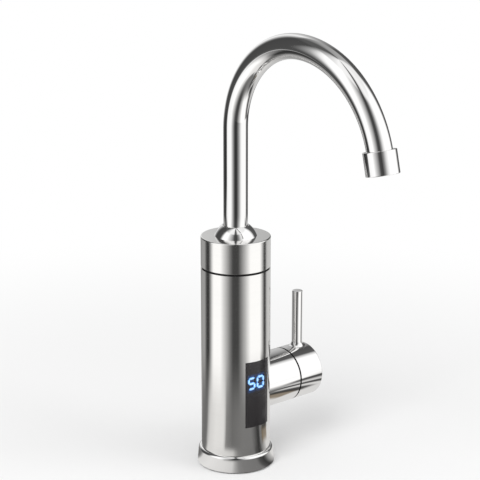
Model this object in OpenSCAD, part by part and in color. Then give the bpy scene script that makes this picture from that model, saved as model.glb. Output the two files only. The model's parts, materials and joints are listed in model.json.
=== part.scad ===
// Electric instant water heater tap for a worktop, seated at Z = 0.
// +Z is up, the display and the spout face -Y, and the handle is on +X.
// The body's centre line is the Z axis.

/* [Body] */
// Outside diameter of the body tube
body_d = 60; // [58:0.5:66]
// Wall of the body tube
body_wall = 1.5; // [1:0.1:1.8]
// Height of the dark seam
seam_h = 1.7; // [1:0.1:2.5]
// Height of the cap above the seam
cap_h = 26.3; // [24:0.1:34]
// Wall of the cap's skirt
cap_wall = 1.8; // [1:0.1:2]
// Thickness of the cap's top
cap_top_t = 3; // [2:0.1:4]
// Rounding of the cap's top edge
cap_edge_r = 0.8; // [0.3:0.1:1.5]

/* [Base] */
// Thickness of the polished base flange at its rounded shoulder
shoulder_t = 2.7; // [1.8:0.1:4]
// Spread of the base flange from its shoulder to its foot
flange_spread = 0.9; // [0.3:0.1:3]
// Height of the base flange's top edge
flange_h = 14.5; // [12:0.5:20]
// Thickness of the deck gasket
gasket_t = 2; // [1.2:0.1:3]
// Height of the gasket's edge that shows under the flange
gasket_show = 0.8; // [0.4:0.1:1]
// Thickness of the flange's inner ledge
ledge_t = 2; // [1.5:0.1:3]
// Thickness of the base plate
base_plate_t = 5; // [4:0.5:7]
// Thread of the base plate's screws
base_screw_d = 3; // [2.5:0.1:3.5]
// Head of the base plate's screws
base_screw_head_d = 5; // [4.6:0.1:5.6]

/* [Deck fixing] */
// Worktop thickness that the fixings are set to
deck_t = 30; // [12:1:38]
// Major diameter of the G1/2 shank
shank_d = 20.955; // [19:0.005:22]
// Length of the shank below the worktop's top face
shank_len = 62; // [60:1:80]
// Water passage in the shank
shank_bore_d = 11; // [8:0.5:12]
// Distance of the shank in front of the body's centre line
shank_offset = 5; // [4.5:0.1:6]
// Length of thread left for the hose
hose_thread_len = 14; // [10:0.5:15]
// Width of the relief between the two threads
relief_w = 1.5; // [1:0.1:2.5]
// Diameter of the fixing washers
washer_d = 54; // [50:1:60]
// Thickness of the rubber washer
rubber_washer_t = 3; // [2:0.1:4]
// Thickness of the steel washer
steel_washer_t = 2; // [1.5:0.1:3]
// Lock nut across its flats
nut_flats = 30; // [27:1:34]
// Height of the lock nut
nut_h = 8; // [5:0.5:8]
// Diameter of the supply cable that the gland takes
cable_d = 8; // [6:0.1:8.4]
// Distance of the cable behind the body's centre line
cable_offset = 13.2; // [12.8:0.1:14]
// Wall of the cable gland
gland_wall = 1.2; // [0.8:0.1:1.4]

/* [Display] */
// Height of the middle of the display window
display_z = 70.2; // [68:0.1:73]
// Height of the display window
display_h = 59.6; // [50:0.2:62]
// Angle of the body that the window covers
display_angle = 50; // [44:1:52]
// Height of the middle of the digits above the middle of the window
digit_rise = 8.3; // [0:0.1:14]
// Height of a digit
digit_h = 14.6; // [10:0.2:16]
// Width of a digit
digit_w = 7.6; // [6:0.2:8.2]
// Width of one lit bar
bar_w = 1.5; // [1:0.1:2]
// Gap between the two digits
digit_gap = 2.2; // [1.8:0.1:3]
// Thickness of a circuit board
board_t = 1.2; // [0.8:0.1:1.6]

/* [Valve and handle] */
// Height of the valve's centre line
valve_z = 66.7; // [65:0.1:69]
// Outside diameter of the valve sleeve and of the handle
sleeve_d = 47.6; // [46:0.2:49]
// Wall of the valve sleeve
sleeve_wall = 2.4; // [1.8:0.1:2.6]
// Reach of the valve sleeve from the body's centre line
sleeve_reach = 55.2; // [54:0.1:66]
// Width of the dark ring between sleeve and handle
handle_seam_w = 1.5; // [1:0.1:2.5]
// Length of the handle
handle_len = 25.4; // [24:0.2:30]
// Rounding of the handle's outer edge
handle_edge_r = 0.8; // [0.3:0.1:1.5]
// Wall of the handle's skirt
handle_wall = 2.6; // [2:0.1:3]
// Diameter of the lever
lever_d = 9.3; // [8:0.1:10]
// Height of the lever's tip above the valve's centre line
lever_reach = 74.7; // [60:0.1:95]
// Distance of the lever from the dark ring
lever_in = 15.7; // [12:0.1:16]
// Radius of the flare at the lever's foot
flare_r = 3.6; // [2:0.1:4]
// Diameter of the ceramic cartridge
cartridge_d = 35; // [33:0.5:35.4]
// Length of the cartridge
cartridge_len = 28; // [26:0.5:29]
// Diameter of the cartridge's stem
stem_d = 12; // [10:0.5:13]
// Side of the stem's square end
stem_square = 8; // [6:0.1:8.4]
// Thickness of a ceramic disc
disc_t = 3; // [2.5:0.1:3.5]

/* [Heater] */
// Width of the tank's flange around its wall
tank_flange_w = 3.5; // [3.2:0.1:4.5]
// Wall of the heater tank
tank_wall = 1.2; // [0.8:0.1:1.3]
// Inside height of the heater tank
tank_h = 56; // [50:1:90]
// Free height between the tank's roof and the spout's socket
tank_room = 3.9; // [2:0.1:10]
// Thickness of the tank's lid
lid_t = 4.5; // [4:0.1:5]
// Thickness of the tank's seal
tank_seal_t = 1.5; // [1:0.1:2]
// Diameter of the heating tube
element_d = 6; // [5:0.1:6.2]
// Mean radius of the heating coil
coil_r = 15; // [14.8:0.1:16]
// Free height above the heating coil
coil_top_gap = 4; // [2:0.5:8]
// Whole turns of the heating coil
coil_turns = 5; // [3:1:5]
// Diameter of the cold feed pipe
feed_d = 10; // [8:0.5:10]
// Lift of the flow switch's plunger
plunger_lift = 4; // [2:0.5:4.5]

/* [Spout] */
// Outside diameter of the spout pipe
tube_d = 20.8; // [19:0.2:21.4]
// Wall of the spout pipe
tube_wall = 1; // [0.8:0.1:1.5]
// Height of the straight riser above the cap
riser_h = 93.8; // [60:0.2:140]
// Bend radius of the spout's first quarter turn
first_bend_r = 77.3; // [60:0.1:95]
// Bend radius of the rest of the spout
second_bend_r = 94; // [70:1:105]
// Whole angle that the spout turns through
spout_sweep = 167; // [150:1:178]
// Diameter of the aerator housing
aerator_d = 27; // [25:0.2:30]
// Length of the aerator housing
aerator_len = 19; // [17:0.5:24]
// Diameter of the domed collar where it meets the cap
collar_d = 36.4; // [33:0.2:42]
// Height of the collar above the cap
collar_h = 9.3; // [7:0.1:11]
// Width of the collar's flat top around the pipe
collar_top_w = 0.8; // [0.5:0.1:1.2]
// Length of the foot that turns in the socket
foot_len = 15; // [12:0.5:16]
// Wall of the foot around the pipe
foot_wall = 2; // [1.9:0.1:2.4]

/* [Fits] */
// Gap on the radius between fixed pieces that nest
nest_gap = 0.1; // [0.05:0.01:0.15]
// Gap on the radius of a turning or sliding fit
run_gap = 0.05; // [0.03:0.01:0.08]
// Gap along the axis beside a turning piece
end_gap = 0.2; // [0.1:0.05:0.3]

/* [Hidden] */
$fn = 96;
// Overrun of a cutting shape past the face that it cuts
over = 1;

// Body tube, seam and cap
body_r = body_d / 2;
body_bore_r = body_r - body_wall;
inner_r = body_bore_r - nest_gap;
seam_inset = 1;
seam_bore_r = inner_r - 0.7;

// Base
ledge_z = gasket_t + ledge_t;
plate_top = ledge_z + base_plate_t;
flange_bore_r = body_r + nest_gap;
flange_fold = shoulder_t - nest_gap;
shoulder_r = body_r + shoulder_t;
flange_r = shoulder_r + flange_spread;
gasket_inset = 1.8;
gasket_r = flange_r - gasket_inset;
ledge_w = 5.4;
ledge_bore_r = inner_r - ledge_w;
gasket_bore_r = ledge_bore_r - 1;
base_screw_pcr = (ledge_bore_r + inner_r) / 2;
base_screw_count = 3;
base_screw_turn = 30;
base_screw_floor = 1;

// Shank, washers and nut
shank_r = shank_d / 2;
shank_hole_r = shank_r + nest_gap;
shank_head_w = 2.5;
shank_head_r = shank_r + shank_head_w;
shank_head_h = 4;
shank_head_back = shank_r + nest_gap;
relief_depth = 0.9;
rubber_z = -deck_t - rubber_washer_t;
steel_z = rubber_z - steel_washer_t;
nut_z = steel_z - nut_h;
hose_thread_z = -shank_len + hose_thread_len;
washer_slack = 0.5;
washer_bore_r = shank_r + washer_slack;
gland_r = cable_d / 2 + gland_wall;
gland_lip = 1;
gland_lip_t = 1.2;

// Display
display_bottom = display_z - display_h / 2;
display_top = display_z + display_h / 2;
digit_z = display_z + digit_rise;
frame_margin = 3;
frame_side = 1.7;
frame_half_w = body_r * sin(display_angle / 2) + frame_side;
frame_depth = 5.8;
board_face_y = -(inner_r - frame_depth);
board_margin = 1;
digits_w = 2 * digit_w + digit_gap;
module_side = 2;
module_end = 2.5;
module_w = digits_w + 2 * module_side;
module_h = digit_h + 2 * module_end;
module_face_gap = 0.3;
module_face_y = -sqrt(inner_r * inner_r - module_w * module_w / 4) + module_face_gap;
bar_t = 0.4;
bar_gap = 0.3;
window_inset = 0.1;
window_side_angle = 0.25;
window_out_r = body_r - window_inset;

// Valve sleeve and block, along +X: the cartridge is set back from the sleeve's outer end
sleeve_r = sleeve_d / 2;
sleeve_bore_r = sleeve_r - sleeve_wall;
sleeve_start = sqrt(body_r * body_r - sleeve_r * sleeve_r);
block_set_back = 3.5;
block_end = sleeve_reach - block_set_back;
rib_t = 4;
rib_x = block_end - 6;
cartridge_r = cartridge_d / 2;
cartridge_nut_t = 6;
cartridge_nut_bore_r = 9;
cartridge_end = block_end - 1 - cartridge_nut_t;
seat_x = cartridge_end - cartridge_len;
block_floor_t = 6;
block_x = seat_x - block_floor_t;
cup_wall = 2.5;
cup_r = cartridge_r + nest_gap;
block_r = cup_r + cup_wall;
manifold_r = 14;

// Cartridge
chamber_wall = 2;
chamber_r = cartridge_r - chamber_wall;
disc_r = chamber_r - nest_gap;
cartridge_floor_t = 2;
cartridge_head_t = 4;
fixed_disc_x = seat_x + cartridge_floor_t;
moving_disc_x = fixed_disc_x + disc_t;
carrier_x = moving_disc_x + disc_t;
carrier_t = 5;
stem_r = stem_d / 2;
port_r = 4;
port_ring_r = 8;
port_count = 3;
port_turn = 60;
seal_wall = 1.5;
disc_port_r = 3.6;
pocket_angle = 120;
pocket_margin = 0.6;
pocket_roof_t = 1;

// Handle and lever
handle_x = sleeve_reach + handle_seam_w + end_gap;
lever_x = handle_x + lever_in;
lever_r = lever_d / 2;
hub_r = 9;
hub_x = handle_x + 4;
stem_reach = 13;
stem_end = hub_x + stem_reach;
stem_end_gap = 0.5;
stem_shoulder = 2;
handle_seam_inset = 0.7;
handle_seam_bore_r = 12;
lever_seat = 3;
lever_edge_r = 0.6;
grub_x = hub_x + 4;
grub_r = 2;
grub_show = 1;

// Control board behind the valve and the cable gland
control_board_w = 23;
control_board_room = 1.6;
control_board_y = cable_offset + gland_r + gland_lip + control_board_room;
control_board_clear = 2;

// Heater, standing clear of the display above and of the valve below
terminal_h = 8;
terminal_r = 1.4;
leg_show = 4;
lid_clear = 2;
terminal_clear = 0.5;
lid_z = max(display_top + frame_margin + lid_clear,
    valve_z + sleeve_r + terminal_clear + terminal_h + leg_show);
lid_top = lid_z + lid_t;
leg_bottom = lid_z - leg_show;
tank_slack = 0.4;
tank_flange_r = inner_r - tank_slack;
tank_flange_t = 3;
tank_r = tank_flange_r - tank_flange_w;
tank_bore_r = tank_r - tank_wall;
tank_z = lid_top + tank_seal_t;
tank_top = tank_z + tank_h;
tank_roof_t = 1.5;
tank_neck_r = 8;
tank_neck_bore_r = 6.5;
tank_neck_seat = 4;
tank_neck_h = tank_room + tank_neck_seat;
tank_screw_r = 1.1;
tank_screw_head_r = 1.7;
tank_screw_head_h = 1.4;
tank_screw_turn = 15;
tank_screw_pcr = (tank_r + tank_flange_r) / 2;
tank_screw_count = 6;
element_r = element_d / 2;
element_bend = 5;
coil_lift = 9;
coil_z = tank_z + coil_lift;
return_r = 5;
leg_a = [coil_r, -element_bend];
element_nut_h = 3;
element_nut_wall = 1.8;
cutout_r = 7.5;
cutout_room = 0.5;
cutout_at = [9.5, control_board_y - cutout_r - cutout_room];
cutout_h = 5;
cutout_tab = [0.8, 6, 4];
cutout_tab_x = 4;
sensor_r = 2;
sensor_head_r = 3.2;
sensor_room = 1.8;
sensor_at = [-4, control_board_y - sensor_head_r - sensor_room];
sensor_head_h = 3;
sensor_reach = 6;

// Cold feed, beside the inlet pipe
feed_r = feed_d / 2;
feed_wall = 1;
feed_z = valve_z + 10;
cold_port = [0, -11.5];
cold_way_r = 3;
cold_way_z = valve_z + port_ring_r;
feed_hub_wall = 1.4;
feed_hub_reach = 7;

// Flow switch, in line with the valve's hot port and under the lid's hot port
spigot_r = 5;
spigot_clear = 1.1;
hot_way_y = port_ring_r * sin(port_turn);
hot_port_r = tank_bore_r - spigot_r - spigot_clear;
hot_port = [-sqrt(hot_port_r * hot_port_r - hot_way_y * hot_way_y), hot_way_y];
element_nut_room = 0.94;
leg_b = [hot_port.x + spigot_r + element_nut_room + element_nut_wall + element_r, return_r];
leg_shift = leg_b.x + element_bend;
switch_r = 7.5;
switch_bore_r = 5.5;
switch_port_z = valve_z - port_ring_r * cos(port_turn);
switch_z = switch_port_z - 6.7;
switch_floor_t = 2;
switch_seat_w = 1;
switch_port_r = 4.5;
switch_port_bore_r = 3;
switch_port_seat = 3;
switch_cap_t = 3;
switch_cap_bore_r = 2.7;
manifold_x = hot_port.x + switch_r + 0.7;
plunger_r = switch_bore_r - run_gap;
plunger_z = switch_port_z + 5.3;
plunger_h = 9;
plunger_groove_r = 1.2;
plunger_groove_count = 4;
magnet_r = 3;
magnet_h = 4;
spring_r = 3.6;
spring_room = 10;
wire_d = 0.6;
spring_curls = 6;
spring_end_gap = 0.1;
switch_top = plunger_z + plunger_h + plunger_lift + spring_room;
reed_r = 1.3;
reed_len = 14;
reed_z = plunger_z + 2;

// Inlet pipe
pipe_r = 6.5;
pipe_bore_r = 5;
pipe_seat = 2;
pipe_top = valve_z - manifold_r + pipe_seat;
pipe_hub_wall = 2;
pipe_hub_reach = 4;

// Relay and terminals in front of the control board
relay_size = [16, 10, 14];
relay_lift = 17;
terminal_size = [18, 11, 11];
terminal_lift = 3.5;
wire_hole_r = 1.8;
wire_pitch = 5.5;

// Seam, cap and the spout's socket, above the tank
socket_flange_t = 5;
socket_flange_z = tank_top + tank_roof_t + tank_room;
seam_z = socket_flange_z + socket_flange_t;
cap_z = seam_z + seam_h;
cap_top = cap_z + cap_h;

// Spout
tube_r = tube_d / 2;
tube_bore_r = tube_r - tube_wall;
riser_top = cap_top + riser_h;
foot_r = tube_r + foot_wall;
socket_bore_r = foot_r + run_gap;
bush_step = 2;
bush_r = foot_r + bush_step;
bush_t = 2.5;
neck_r = bush_r;
neck_depth = 3.5;
collar_gap = 0.3;
bush_z = cap_top - neck_depth - bush_t;
foot_top = bush_z - end_gap;
foot_z = foot_top - foot_len;
socket_wall = 2;
socket_r = bush_r + nest_gap + socket_wall;
socket_top = cap_top - cap_top_t;
spigot_h = 8;
spigot_top = cap_z + spigot_h;
ring_section_r = 0.6;
groove_depth = 1.3;
groove_w = 1.6;
groove_z = 3;
groove_pitch = 5;
o_ring_count = 2;
outlet_y = -first_bend_r + second_bend_r * cos(spout_sweep);
outlet_z = riser_top + first_bend_r - second_bend_r + second_bend_r * sin(spout_sweep);
aerator_overlap = 4;
bend_gap = 0.3;
aerator_wall = 1.6;
aerator_shoulder = 2;
insert_recess = 1.2;
aerator_washer_t = 1.8;
aerator_washer_lip = 1;

module disc(r, h) {
    cylinder(r = r, h = h);
}

module ring(r, bore_r, h) {
    difference() {
        disc(r, h);
        translate([0, 0, -over])
            disc(bore_r, h + 2 * over);
    }
}

// Lays a shape along +X at the valve's height: its own Z becomes X.
module along_valve(x = 0) {
    translate([x, 0, valve_z])
        rotate([0, 90, 0])
            children();
}

module around(count, radius, start = 0) {
    for (i = [0 : count - 1])
        rotate([0, 0, start + i * 360 / count])
            translate([radius, 0, 0])
                children();
}

// One wall of the body tube between two radii over an angle centred on -Y
module front_sector(r_in, r_out, angle, z0, z1) {
    rotate([0, 0, -90 - angle / 2])
        rotate_extrude(angle = angle)
            translate([r_in, z0])
                square([r_out - r_in, z1 - z0]);
}

// Base and deck fixing

module deck_gasket() {
    color([0.12, 0.12, 0.12])
        ring(gasket_r, gasket_bore_r, gasket_t);
}

module base_flange() {
    color([0.86, 0.87, 0.88])
        difference() {
            rotate_extrude()
                difference() {
                    union() {
                        polygon([[ledge_bore_r, gasket_show], [flange_r, gasket_show],
                            [shoulder_r, flange_h - flange_fold], [ledge_bore_r, flange_h - flange_fold]]);
                        intersection() {
                            translate([flange_bore_r, flange_h - flange_fold])
                                circle(r = flange_fold);
                            translate([flange_bore_r, flange_h - flange_fold])
                                square(flange_fold);
                        }
                    }
                    translate([0, -over])
                        square([gasket_r + nest_gap, gasket_t + over]);
                    translate([0, ledge_z])
                        square([flange_bore_r, flange_h]);
                }
            around(base_screw_count, base_screw_pcr, base_screw_turn)
                translate([0, 0, gasket_t - over])
                    disc(base_screw_head_d / 2 + nest_gap, ledge_t + 2 * over);
        }
}

module base_plate() {
    color([0.2, 0.2, 0.22])
        difference() {
            translate([0, 0, ledge_z])
                disc(inner_r, base_plate_t);
            translate([0, -shank_offset, 0])
                disc(shank_hole_r, plate_top + over);
            translate([0, cable_offset, 0])
                disc(gland_r + nest_gap, plate_top + over);
            around(base_screw_count, base_screw_pcr, base_screw_turn)
                translate([0, 0, ledge_z - over])
                    disc(base_screw_d / 2 + nest_gap, base_plate_t - base_screw_floor + over);
        }
}

module base_screws() {
    color([0.6, 0.6, 0.62])
        around(base_screw_count, base_screw_pcr, base_screw_turn) {
            translate([0, 0, gasket_t])
                disc(base_screw_head_d / 2, ledge_t);
            translate([0, 0, ledge_z])
                disc(base_screw_d / 2, base_plate_t - base_screw_floor - end_gap);
        }
}

module inlet_shank() {
    color([0.8, 0.66, 0.36])
        translate([0, -shank_offset, 0])
            difference() {
                union() {
                    translate([0, 0, -shank_len])
                        disc(shank_r, shank_len + plate_top);
                    translate([0, 0, plate_top])
                        intersection() {
                            disc(shank_head_r, shank_head_h);
                            translate([-shank_head_r, shank_head_back - 2 * shank_head_r, 0])
                                cube([2 * shank_head_r, 2 * shank_head_r, shank_head_h]);
                        }
                }
                translate([0, 0, -shank_len - over])
                    disc(shank_bore_d / 2, shank_len + plate_top + shank_head_h + 2 * over);
                translate([0, 0, plate_top - pipe_seat])
                    disc(pipe_r + nest_gap, shank_head_h + pipe_seat + over);
                translate([0, 0, hose_thread_z])
                    ring(shank_r + over, shank_r - relief_depth, relief_w);
            }
}

// Horseshoe outline, open to the back so that the cable passes
module fixing_washer(t) {
    translate([0, -shank_offset, 0])
        difference() {
            disc(washer_d / 2, t);
            translate([0, 0, -over])
                disc(washer_bore_r, t + 2 * over);
            translate([-washer_bore_r, 0, -over])
                cube([2 * washer_bore_r, washer_d, t + 2 * over]);
        }
}

module rubber_washer() {
    color([0.1, 0.1, 0.1])
        translate([0, 0, rubber_z])
            fixing_washer(rubber_washer_t);
}

module steel_washer() {
    color([0.7, 0.71, 0.73])
        translate([0, 0, steel_z])
            fixing_washer(steel_washer_t);
}

module lock_nut() {
    color([0.78, 0.64, 0.35])
        translate([0, -shank_offset, nut_z])
            difference() {
                cylinder(r = nut_flats / 2 / cos(30), h = nut_h, $fn = 6);
                translate([0, 0, -over])
                    disc(shank_r + run_gap, nut_h + 2 * over);
            }
}

module cable_gland() {
    color([0.08, 0.08, 0.08])
        translate([0, cable_offset, 0])
            difference() {
                union() {
                    translate([0, 0, ledge_z - gland_lip_t])
                        disc(gland_r + gland_lip, gland_lip_t);
                    translate([0, 0, ledge_z])
                        disc(gland_r, base_plate_t);
                    translate([0, 0, plate_top])
                        disc(gland_r + gland_lip, gland_lip_t);
                }
                translate([0, 0, gasket_t])
                    disc(cable_d / 2, plate_top + gland_lip_t);
            }
}

// Body shell, seam and cap

module body_shell() {
    color([0.72, 0.72, 0.71])
        difference() {
            translate([0, 0, ledge_z])
                ring(body_r, body_bore_r, seam_z - ledge_z);
            front_sector(body_bore_r - over, body_r + over, display_angle, display_bottom, display_top);
            along_valve()
                disc(sleeve_r + nest_gap, body_d);
        }
}

module seam_ring() {
    color([0.05, 0.05, 0.05])
        translate([0, 0, seam_z])
            ring(body_r - seam_inset, seam_bore_r, seam_h);
}

module top_cap() {
    color([0.74, 0.74, 0.74])
        translate([0, 0, cap_z])
            rotate_extrude()
                difference() {
                    union() {
                        square([body_r, cap_h - cap_edge_r]);
                        square([body_r - cap_edge_r, cap_h]);
                        translate([body_r - cap_edge_r, cap_h - cap_edge_r])
                            circle(r = cap_edge_r);
                    }
                    square([body_r - cap_wall, cap_h - cap_top_t]);
                    square([neck_r + nest_gap, cap_h + over]);
                }
}

// Heater

module tank_lid() {
    color([0.62, 0.63, 0.65])
        difference() {
            translate([0, 0, lid_z])
                disc(tank_flange_r, lid_t);
            for (leg = [leg_a, leg_b])
                translate([leg.x, leg.y, lid_z - over])
                    disc(element_r + nest_gap, lid_t + 2 * over);
            translate([cold_port.x, cold_port.y, lid_z - over])
                disc(feed_r + nest_gap, lid_t + 2 * over);
            translate([hot_port.x, hot_port.y, lid_z - over])
                disc(spigot_r + nest_gap, lid_t + 2 * over);
            translate([sensor_at.x, sensor_at.y, lid_z - over])
                disc(sensor_r + nest_gap, lid_t + 2 * over);
            around(tank_screw_count, tank_screw_pcr, tank_screw_turn)
                translate([0, 0, lid_z - over])
                    disc(tank_screw_r + nest_gap, lid_t + 2 * over);
        }
}

module tank_seal() {
    color([0.55, 0.2, 0.15])
        translate([0, 0, lid_top])
            difference() {
                ring(tank_flange_r, tank_bore_r, tank_seal_t);
                around(tank_screw_count, tank_screw_pcr, tank_screw_turn)
                    translate([0, 0, -over])
                        disc(tank_screw_r + nest_gap, tank_seal_t + 2 * over);
            }
}

module heater_tank() {
    color([0.7, 0.71, 0.72])
        translate([0, 0, tank_z])
            difference() {
                union() {
                    disc(tank_r, tank_h + tank_roof_t);
                    disc(tank_flange_r, tank_flange_t);
                    translate([0, 0, tank_h])
                        disc(tank_neck_r, tank_roof_t + tank_neck_h);
                }
                translate([0, 0, -over])
                    disc(tank_bore_r, tank_h + over);
                disc(tank_neck_bore_r, tank_h + tank_roof_t + tank_neck_h + over);
                around(tank_screw_count, tank_screw_pcr, tank_screw_turn)
                    translate([0, 0, -over])
                        disc(tank_screw_r + nest_gap, tank_flange_t + 2 * over);
            }
}

module tank_screws() {
    color([0.6, 0.6, 0.62])
        around(tank_screw_count, tank_screw_pcr, tank_screw_turn) {
            translate([0, 0, lid_z - tank_screw_head_h])
                disc(tank_screw_head_r, tank_screw_head_h);
            translate([0, 0, lid_z])
                disc(tank_screw_r, lid_t + tank_seal_t + tank_flange_t);
        }
}

// Centre line of the heating tube: up one leg, round the coil, in and down the other leg
coil_steps = 24;
coil_end_angle = 360 * coil_turns + 90;
coil_pitch = (tank_h - coil_lift - element_r - coil_top_gap) * 360 / coil_end_angle;
coil_rise = coil_pitch * coil_end_angle / 360;
bend_steps = 5;
function coil_blend(a) =
    let (u = max(0, (a - coil_end_angle + 180) / 180))
    3 * u * u - 2 * u * u * u;
function coil_radius(a) = coil_r + (return_r - coil_r) * coil_blend(a);
function coil_point(a) =
    [coil_radius(a) * cos(a) + leg_shift * coil_blend(a), coil_radius(a) * sin(a),
        coil_z + coil_pitch * a / 360];
element_path = concat(
    [[coil_r, -element_bend, leg_bottom]],
    [for (i = [0 : bend_steps - 1])
        let (t = 90 * i / bend_steps)
        [coil_r, -element_bend * cos(t), coil_z - element_bend + element_bend * sin(t)]],
    [for (a = [0 : 360 / coil_steps : coil_end_angle]) coil_point(a)],
    [for (i = [1 : bend_steps])
        let (t = 90 * i / bend_steps)
        [leg_shift - element_bend * sin(t), return_r, coil_z + coil_rise - element_bend * (1 - cos(t))]],
    [[leg_b.x, leg_b.y, leg_bottom]]);

function unit(v) = v / norm(v);
function heading(p, i) = unit(p[min(i + 1, len(p) - 1)] - p[max(i - 1, 0)]);

// A tube along a path, with each section's first corner facing away from the given hub line
module swept_tube(path, r, sides, hub) {
    last = len(path) - 1;
    sections = [for (i = [0 : last])
        let (t = heading(path, i),
            raw = hub[min(i, len(hub) - 1)],
            n = unit(raw - (raw * t) * t),
            b = cross(t, n))
        [for (k = [0 : sides - 1])
            path[i] + r * (cos(360 * k / sides) * n + sin(360 * k / sides) * b)]];
    points = [for (s = sections) for (q = s) q];
    walls = [for (i = [0 : last - 1]) for (k = [0 : sides - 1])
        let (m = (k + 1) % sides)
        for (f = [[i * sides + k, i * sides + m, (i + 1) * sides + m],
                [i * sides + k, (i + 1) * sides + m, (i + 1) * sides + k]])
            [f[2], f[1], f[0]]];
    ends = [for (k = [1 : sides - 2])
        for (f = [[0, k, k + 1], [last * sides, last * sides + k + 1, last * sides + k]])
            f];
    polyhedron(points = points, faces = concat(walls, ends), convexity = 12);
}

// Outward direction at each point of a path that winds round the line through centre
function outward(path, centre) = [for (q = path) unit([q.x - centre.x, q.y - centre.y, 0])];

// Least distance between stretches of a path that lie more than skip points apart
function self_gap(path, skip, r) =
    min([for (i = [0 : len(path) - 1 - skip]) for (j = [i + skip : len(path) - 1])
        norm(path[i] - path[j])]) - 2 * r;

element_out = [for (i = [0 : len(element_path) - 1])
    i <= bend_steps ? [1, 0, 0]
    : i > len(element_path) - 2 - bend_steps ? [0, 1, 0]
    : unit([element_path[i].x, element_path[i].y, 0])];

module heating_element() {
    color([0.66, 0.62, 0.58])
        swept_tube(element_path, element_r, 6, element_out);
}

module element_nuts() {
    color([0.78, 0.64, 0.35])
        for (leg = [leg_a, leg_b])
            translate([leg.x, leg.y, lid_z - element_nut_h])
                difference() {
                    cylinder(r = element_r + element_nut_wall, h = element_nut_h, $fn = 6);
                    translate([0, 0, -over])
                        disc(element_r + nest_gap, element_nut_h + 2 * over);
                }
}

module element_terminals() {
    color([0.75, 0.75, 0.76])
        for (leg = [leg_a, leg_b])
            translate([leg.x, leg.y, leg_bottom - terminal_h])
                disc(terminal_r, terminal_h);
}

module thermal_cutout() {
    color([0.85, 0.8, 0.68])
        translate([cutout_at.x, cutout_at.y, 0]) {
            translate([0, 0, lid_z - cutout_h])
                disc(cutout_r, cutout_h);
            for (side = [-1, 1])
                translate([side * cutout_tab_x - cutout_tab.x / 2, -cutout_tab.y / 2,
                    lid_z - cutout_h - cutout_tab.z])
                    cube(cutout_tab);
        }
}

module temperature_sensor() {
    color([0.8, 0.8, 0.82])
        translate([sensor_at.x, sensor_at.y, 0]) {
            translate([0, 0, lid_z - sensor_head_h])
                disc(sensor_head_r, sensor_head_h);
            translate([0, 0, lid_z])
                disc(sensor_r, lid_t + tank_seal_t + sensor_reach);
        }
}

// Boards and display

module control_board() {
    color([0.1, 0.35, 0.2])
        translate([-control_board_w / 2, control_board_y, plate_top])
            cube([control_board_w, board_t, lid_z - plate_top - control_board_clear]);
}

module relay() {
    color([0.1, 0.25, 0.6])
        translate([-relay_size.x / 2, control_board_y - relay_size.y, plate_top + relay_lift])
            cube(relay_size);
}

module terminal_block() {
    color([0.15, 0.45, 0.2])
        difference() {
            translate([-terminal_size.x / 2, control_board_y - terminal_size.y, plate_top + terminal_lift])
                cube(terminal_size);
            for (i = [-1, 0, 1])
                translate([i * wire_pitch, control_board_y - terminal_size.y / 2,
                    plate_top + terminal_lift - over])
                    disc(wire_hole_r, terminal_size.z / 2 + over);
        }
}

module display_frame() {
    color([0.08, 0.08, 0.09])
        difference() {
            intersection() {
                translate([0, 0, display_bottom - frame_margin])
                    disc(inner_r, display_h + 2 * frame_margin);
                translate([-frame_half_w, -body_r, display_bottom - frame_margin])
                    cube([2 * frame_half_w, body_r + board_face_y, display_h + 2 * frame_margin]);
            }
            translate([-module_w / 2 - nest_gap, -body_r, digit_z - module_h / 2 - nest_gap])
                cube([module_w + 2 * nest_gap, body_r, module_h + 2 * nest_gap]);
        }
}

module display_board() {
    color([0.1, 0.35, 0.2])
        translate([-frame_half_w + board_margin, board_face_y, display_bottom - frame_margin + board_margin])
            cube([2 * (frame_half_w - board_margin), board_t, display_h + 2 * (frame_margin - board_margin)]);
}

module display_module() {
    color([0.05, 0.05, 0.05])
        translate([-module_w / 2, module_face_y, digit_z - module_h / 2])
            cube([module_w, board_face_y - module_face_y, module_h]);
}

// One bar of a digit, pointed at both ends, lying along X
module bar(length) {
    h = bar_w / 2;
    polygon([[-length / 2, 0], [-length / 2 + h, h], [length / 2 - h, h],
        [length / 2, 0], [length / 2 - h, -h], [-length / 2 + h, -h]]);
}

module digit() {
    across = digit_w - bar_w - bar_gap;
    half = digit_h / 2 - bar_w / 2;
    for (level = [-1, 0, 1])
        translate([0, level * half])
            bar(across);
    for (side = [-1, 1])
        for (level = [-1, 1])
            translate([side * (digit_w - bar_w) / 2, level * half / 2])
                rotate(90)
                    bar(half - bar_gap);
}

module digit_segments() {
    color([0.2, 0.6, 1])
        for (side = [-1, 1])
            translate([side * (digit_w + digit_gap) / 2, module_face_y, digit_z])
                rotate([90, 0, 0])
                    linear_extrude(bar_t)
                        digit();
}

module display_window() {
    color([0.04, 0.04, 0.05])
        front_sector(body_bore_r, window_out_r, display_angle - 2 * window_side_angle,
            display_bottom + nest_gap, display_top - nest_gap);
}

// Flow switch

module flow_switch_housing() {
    color([0.85, 0.84, 0.78])
        difference() {
            union() {
                translate([hot_port.x, hot_port.y, switch_z])
                    disc(switch_r, switch_top - switch_z);
                translate([hot_port.x, hot_port.y, switch_port_z])
                    rotate([0, 90, 0])
                        disc(switch_port_r, manifold_x + switch_port_seat - hot_port.x);
            }
            translate([hot_port.x, hot_port.y, switch_z + switch_floor_t])
                disc(switch_bore_r - switch_seat_w, switch_top);
            translate([hot_port.x, hot_port.y, plunger_z])
                disc(switch_bore_r, switch_top);
            translate([hot_port.x, hot_port.y, switch_port_z])
                rotate([0, 90, 0])
                    disc(switch_port_bore_r, manifold_x + switch_port_seat - hot_port.x + over);
            translate([hot_port.x - switch_r, hot_port.y, reed_z])
                disc(reed_r + nest_gap, switch_top);
        }
}

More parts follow.
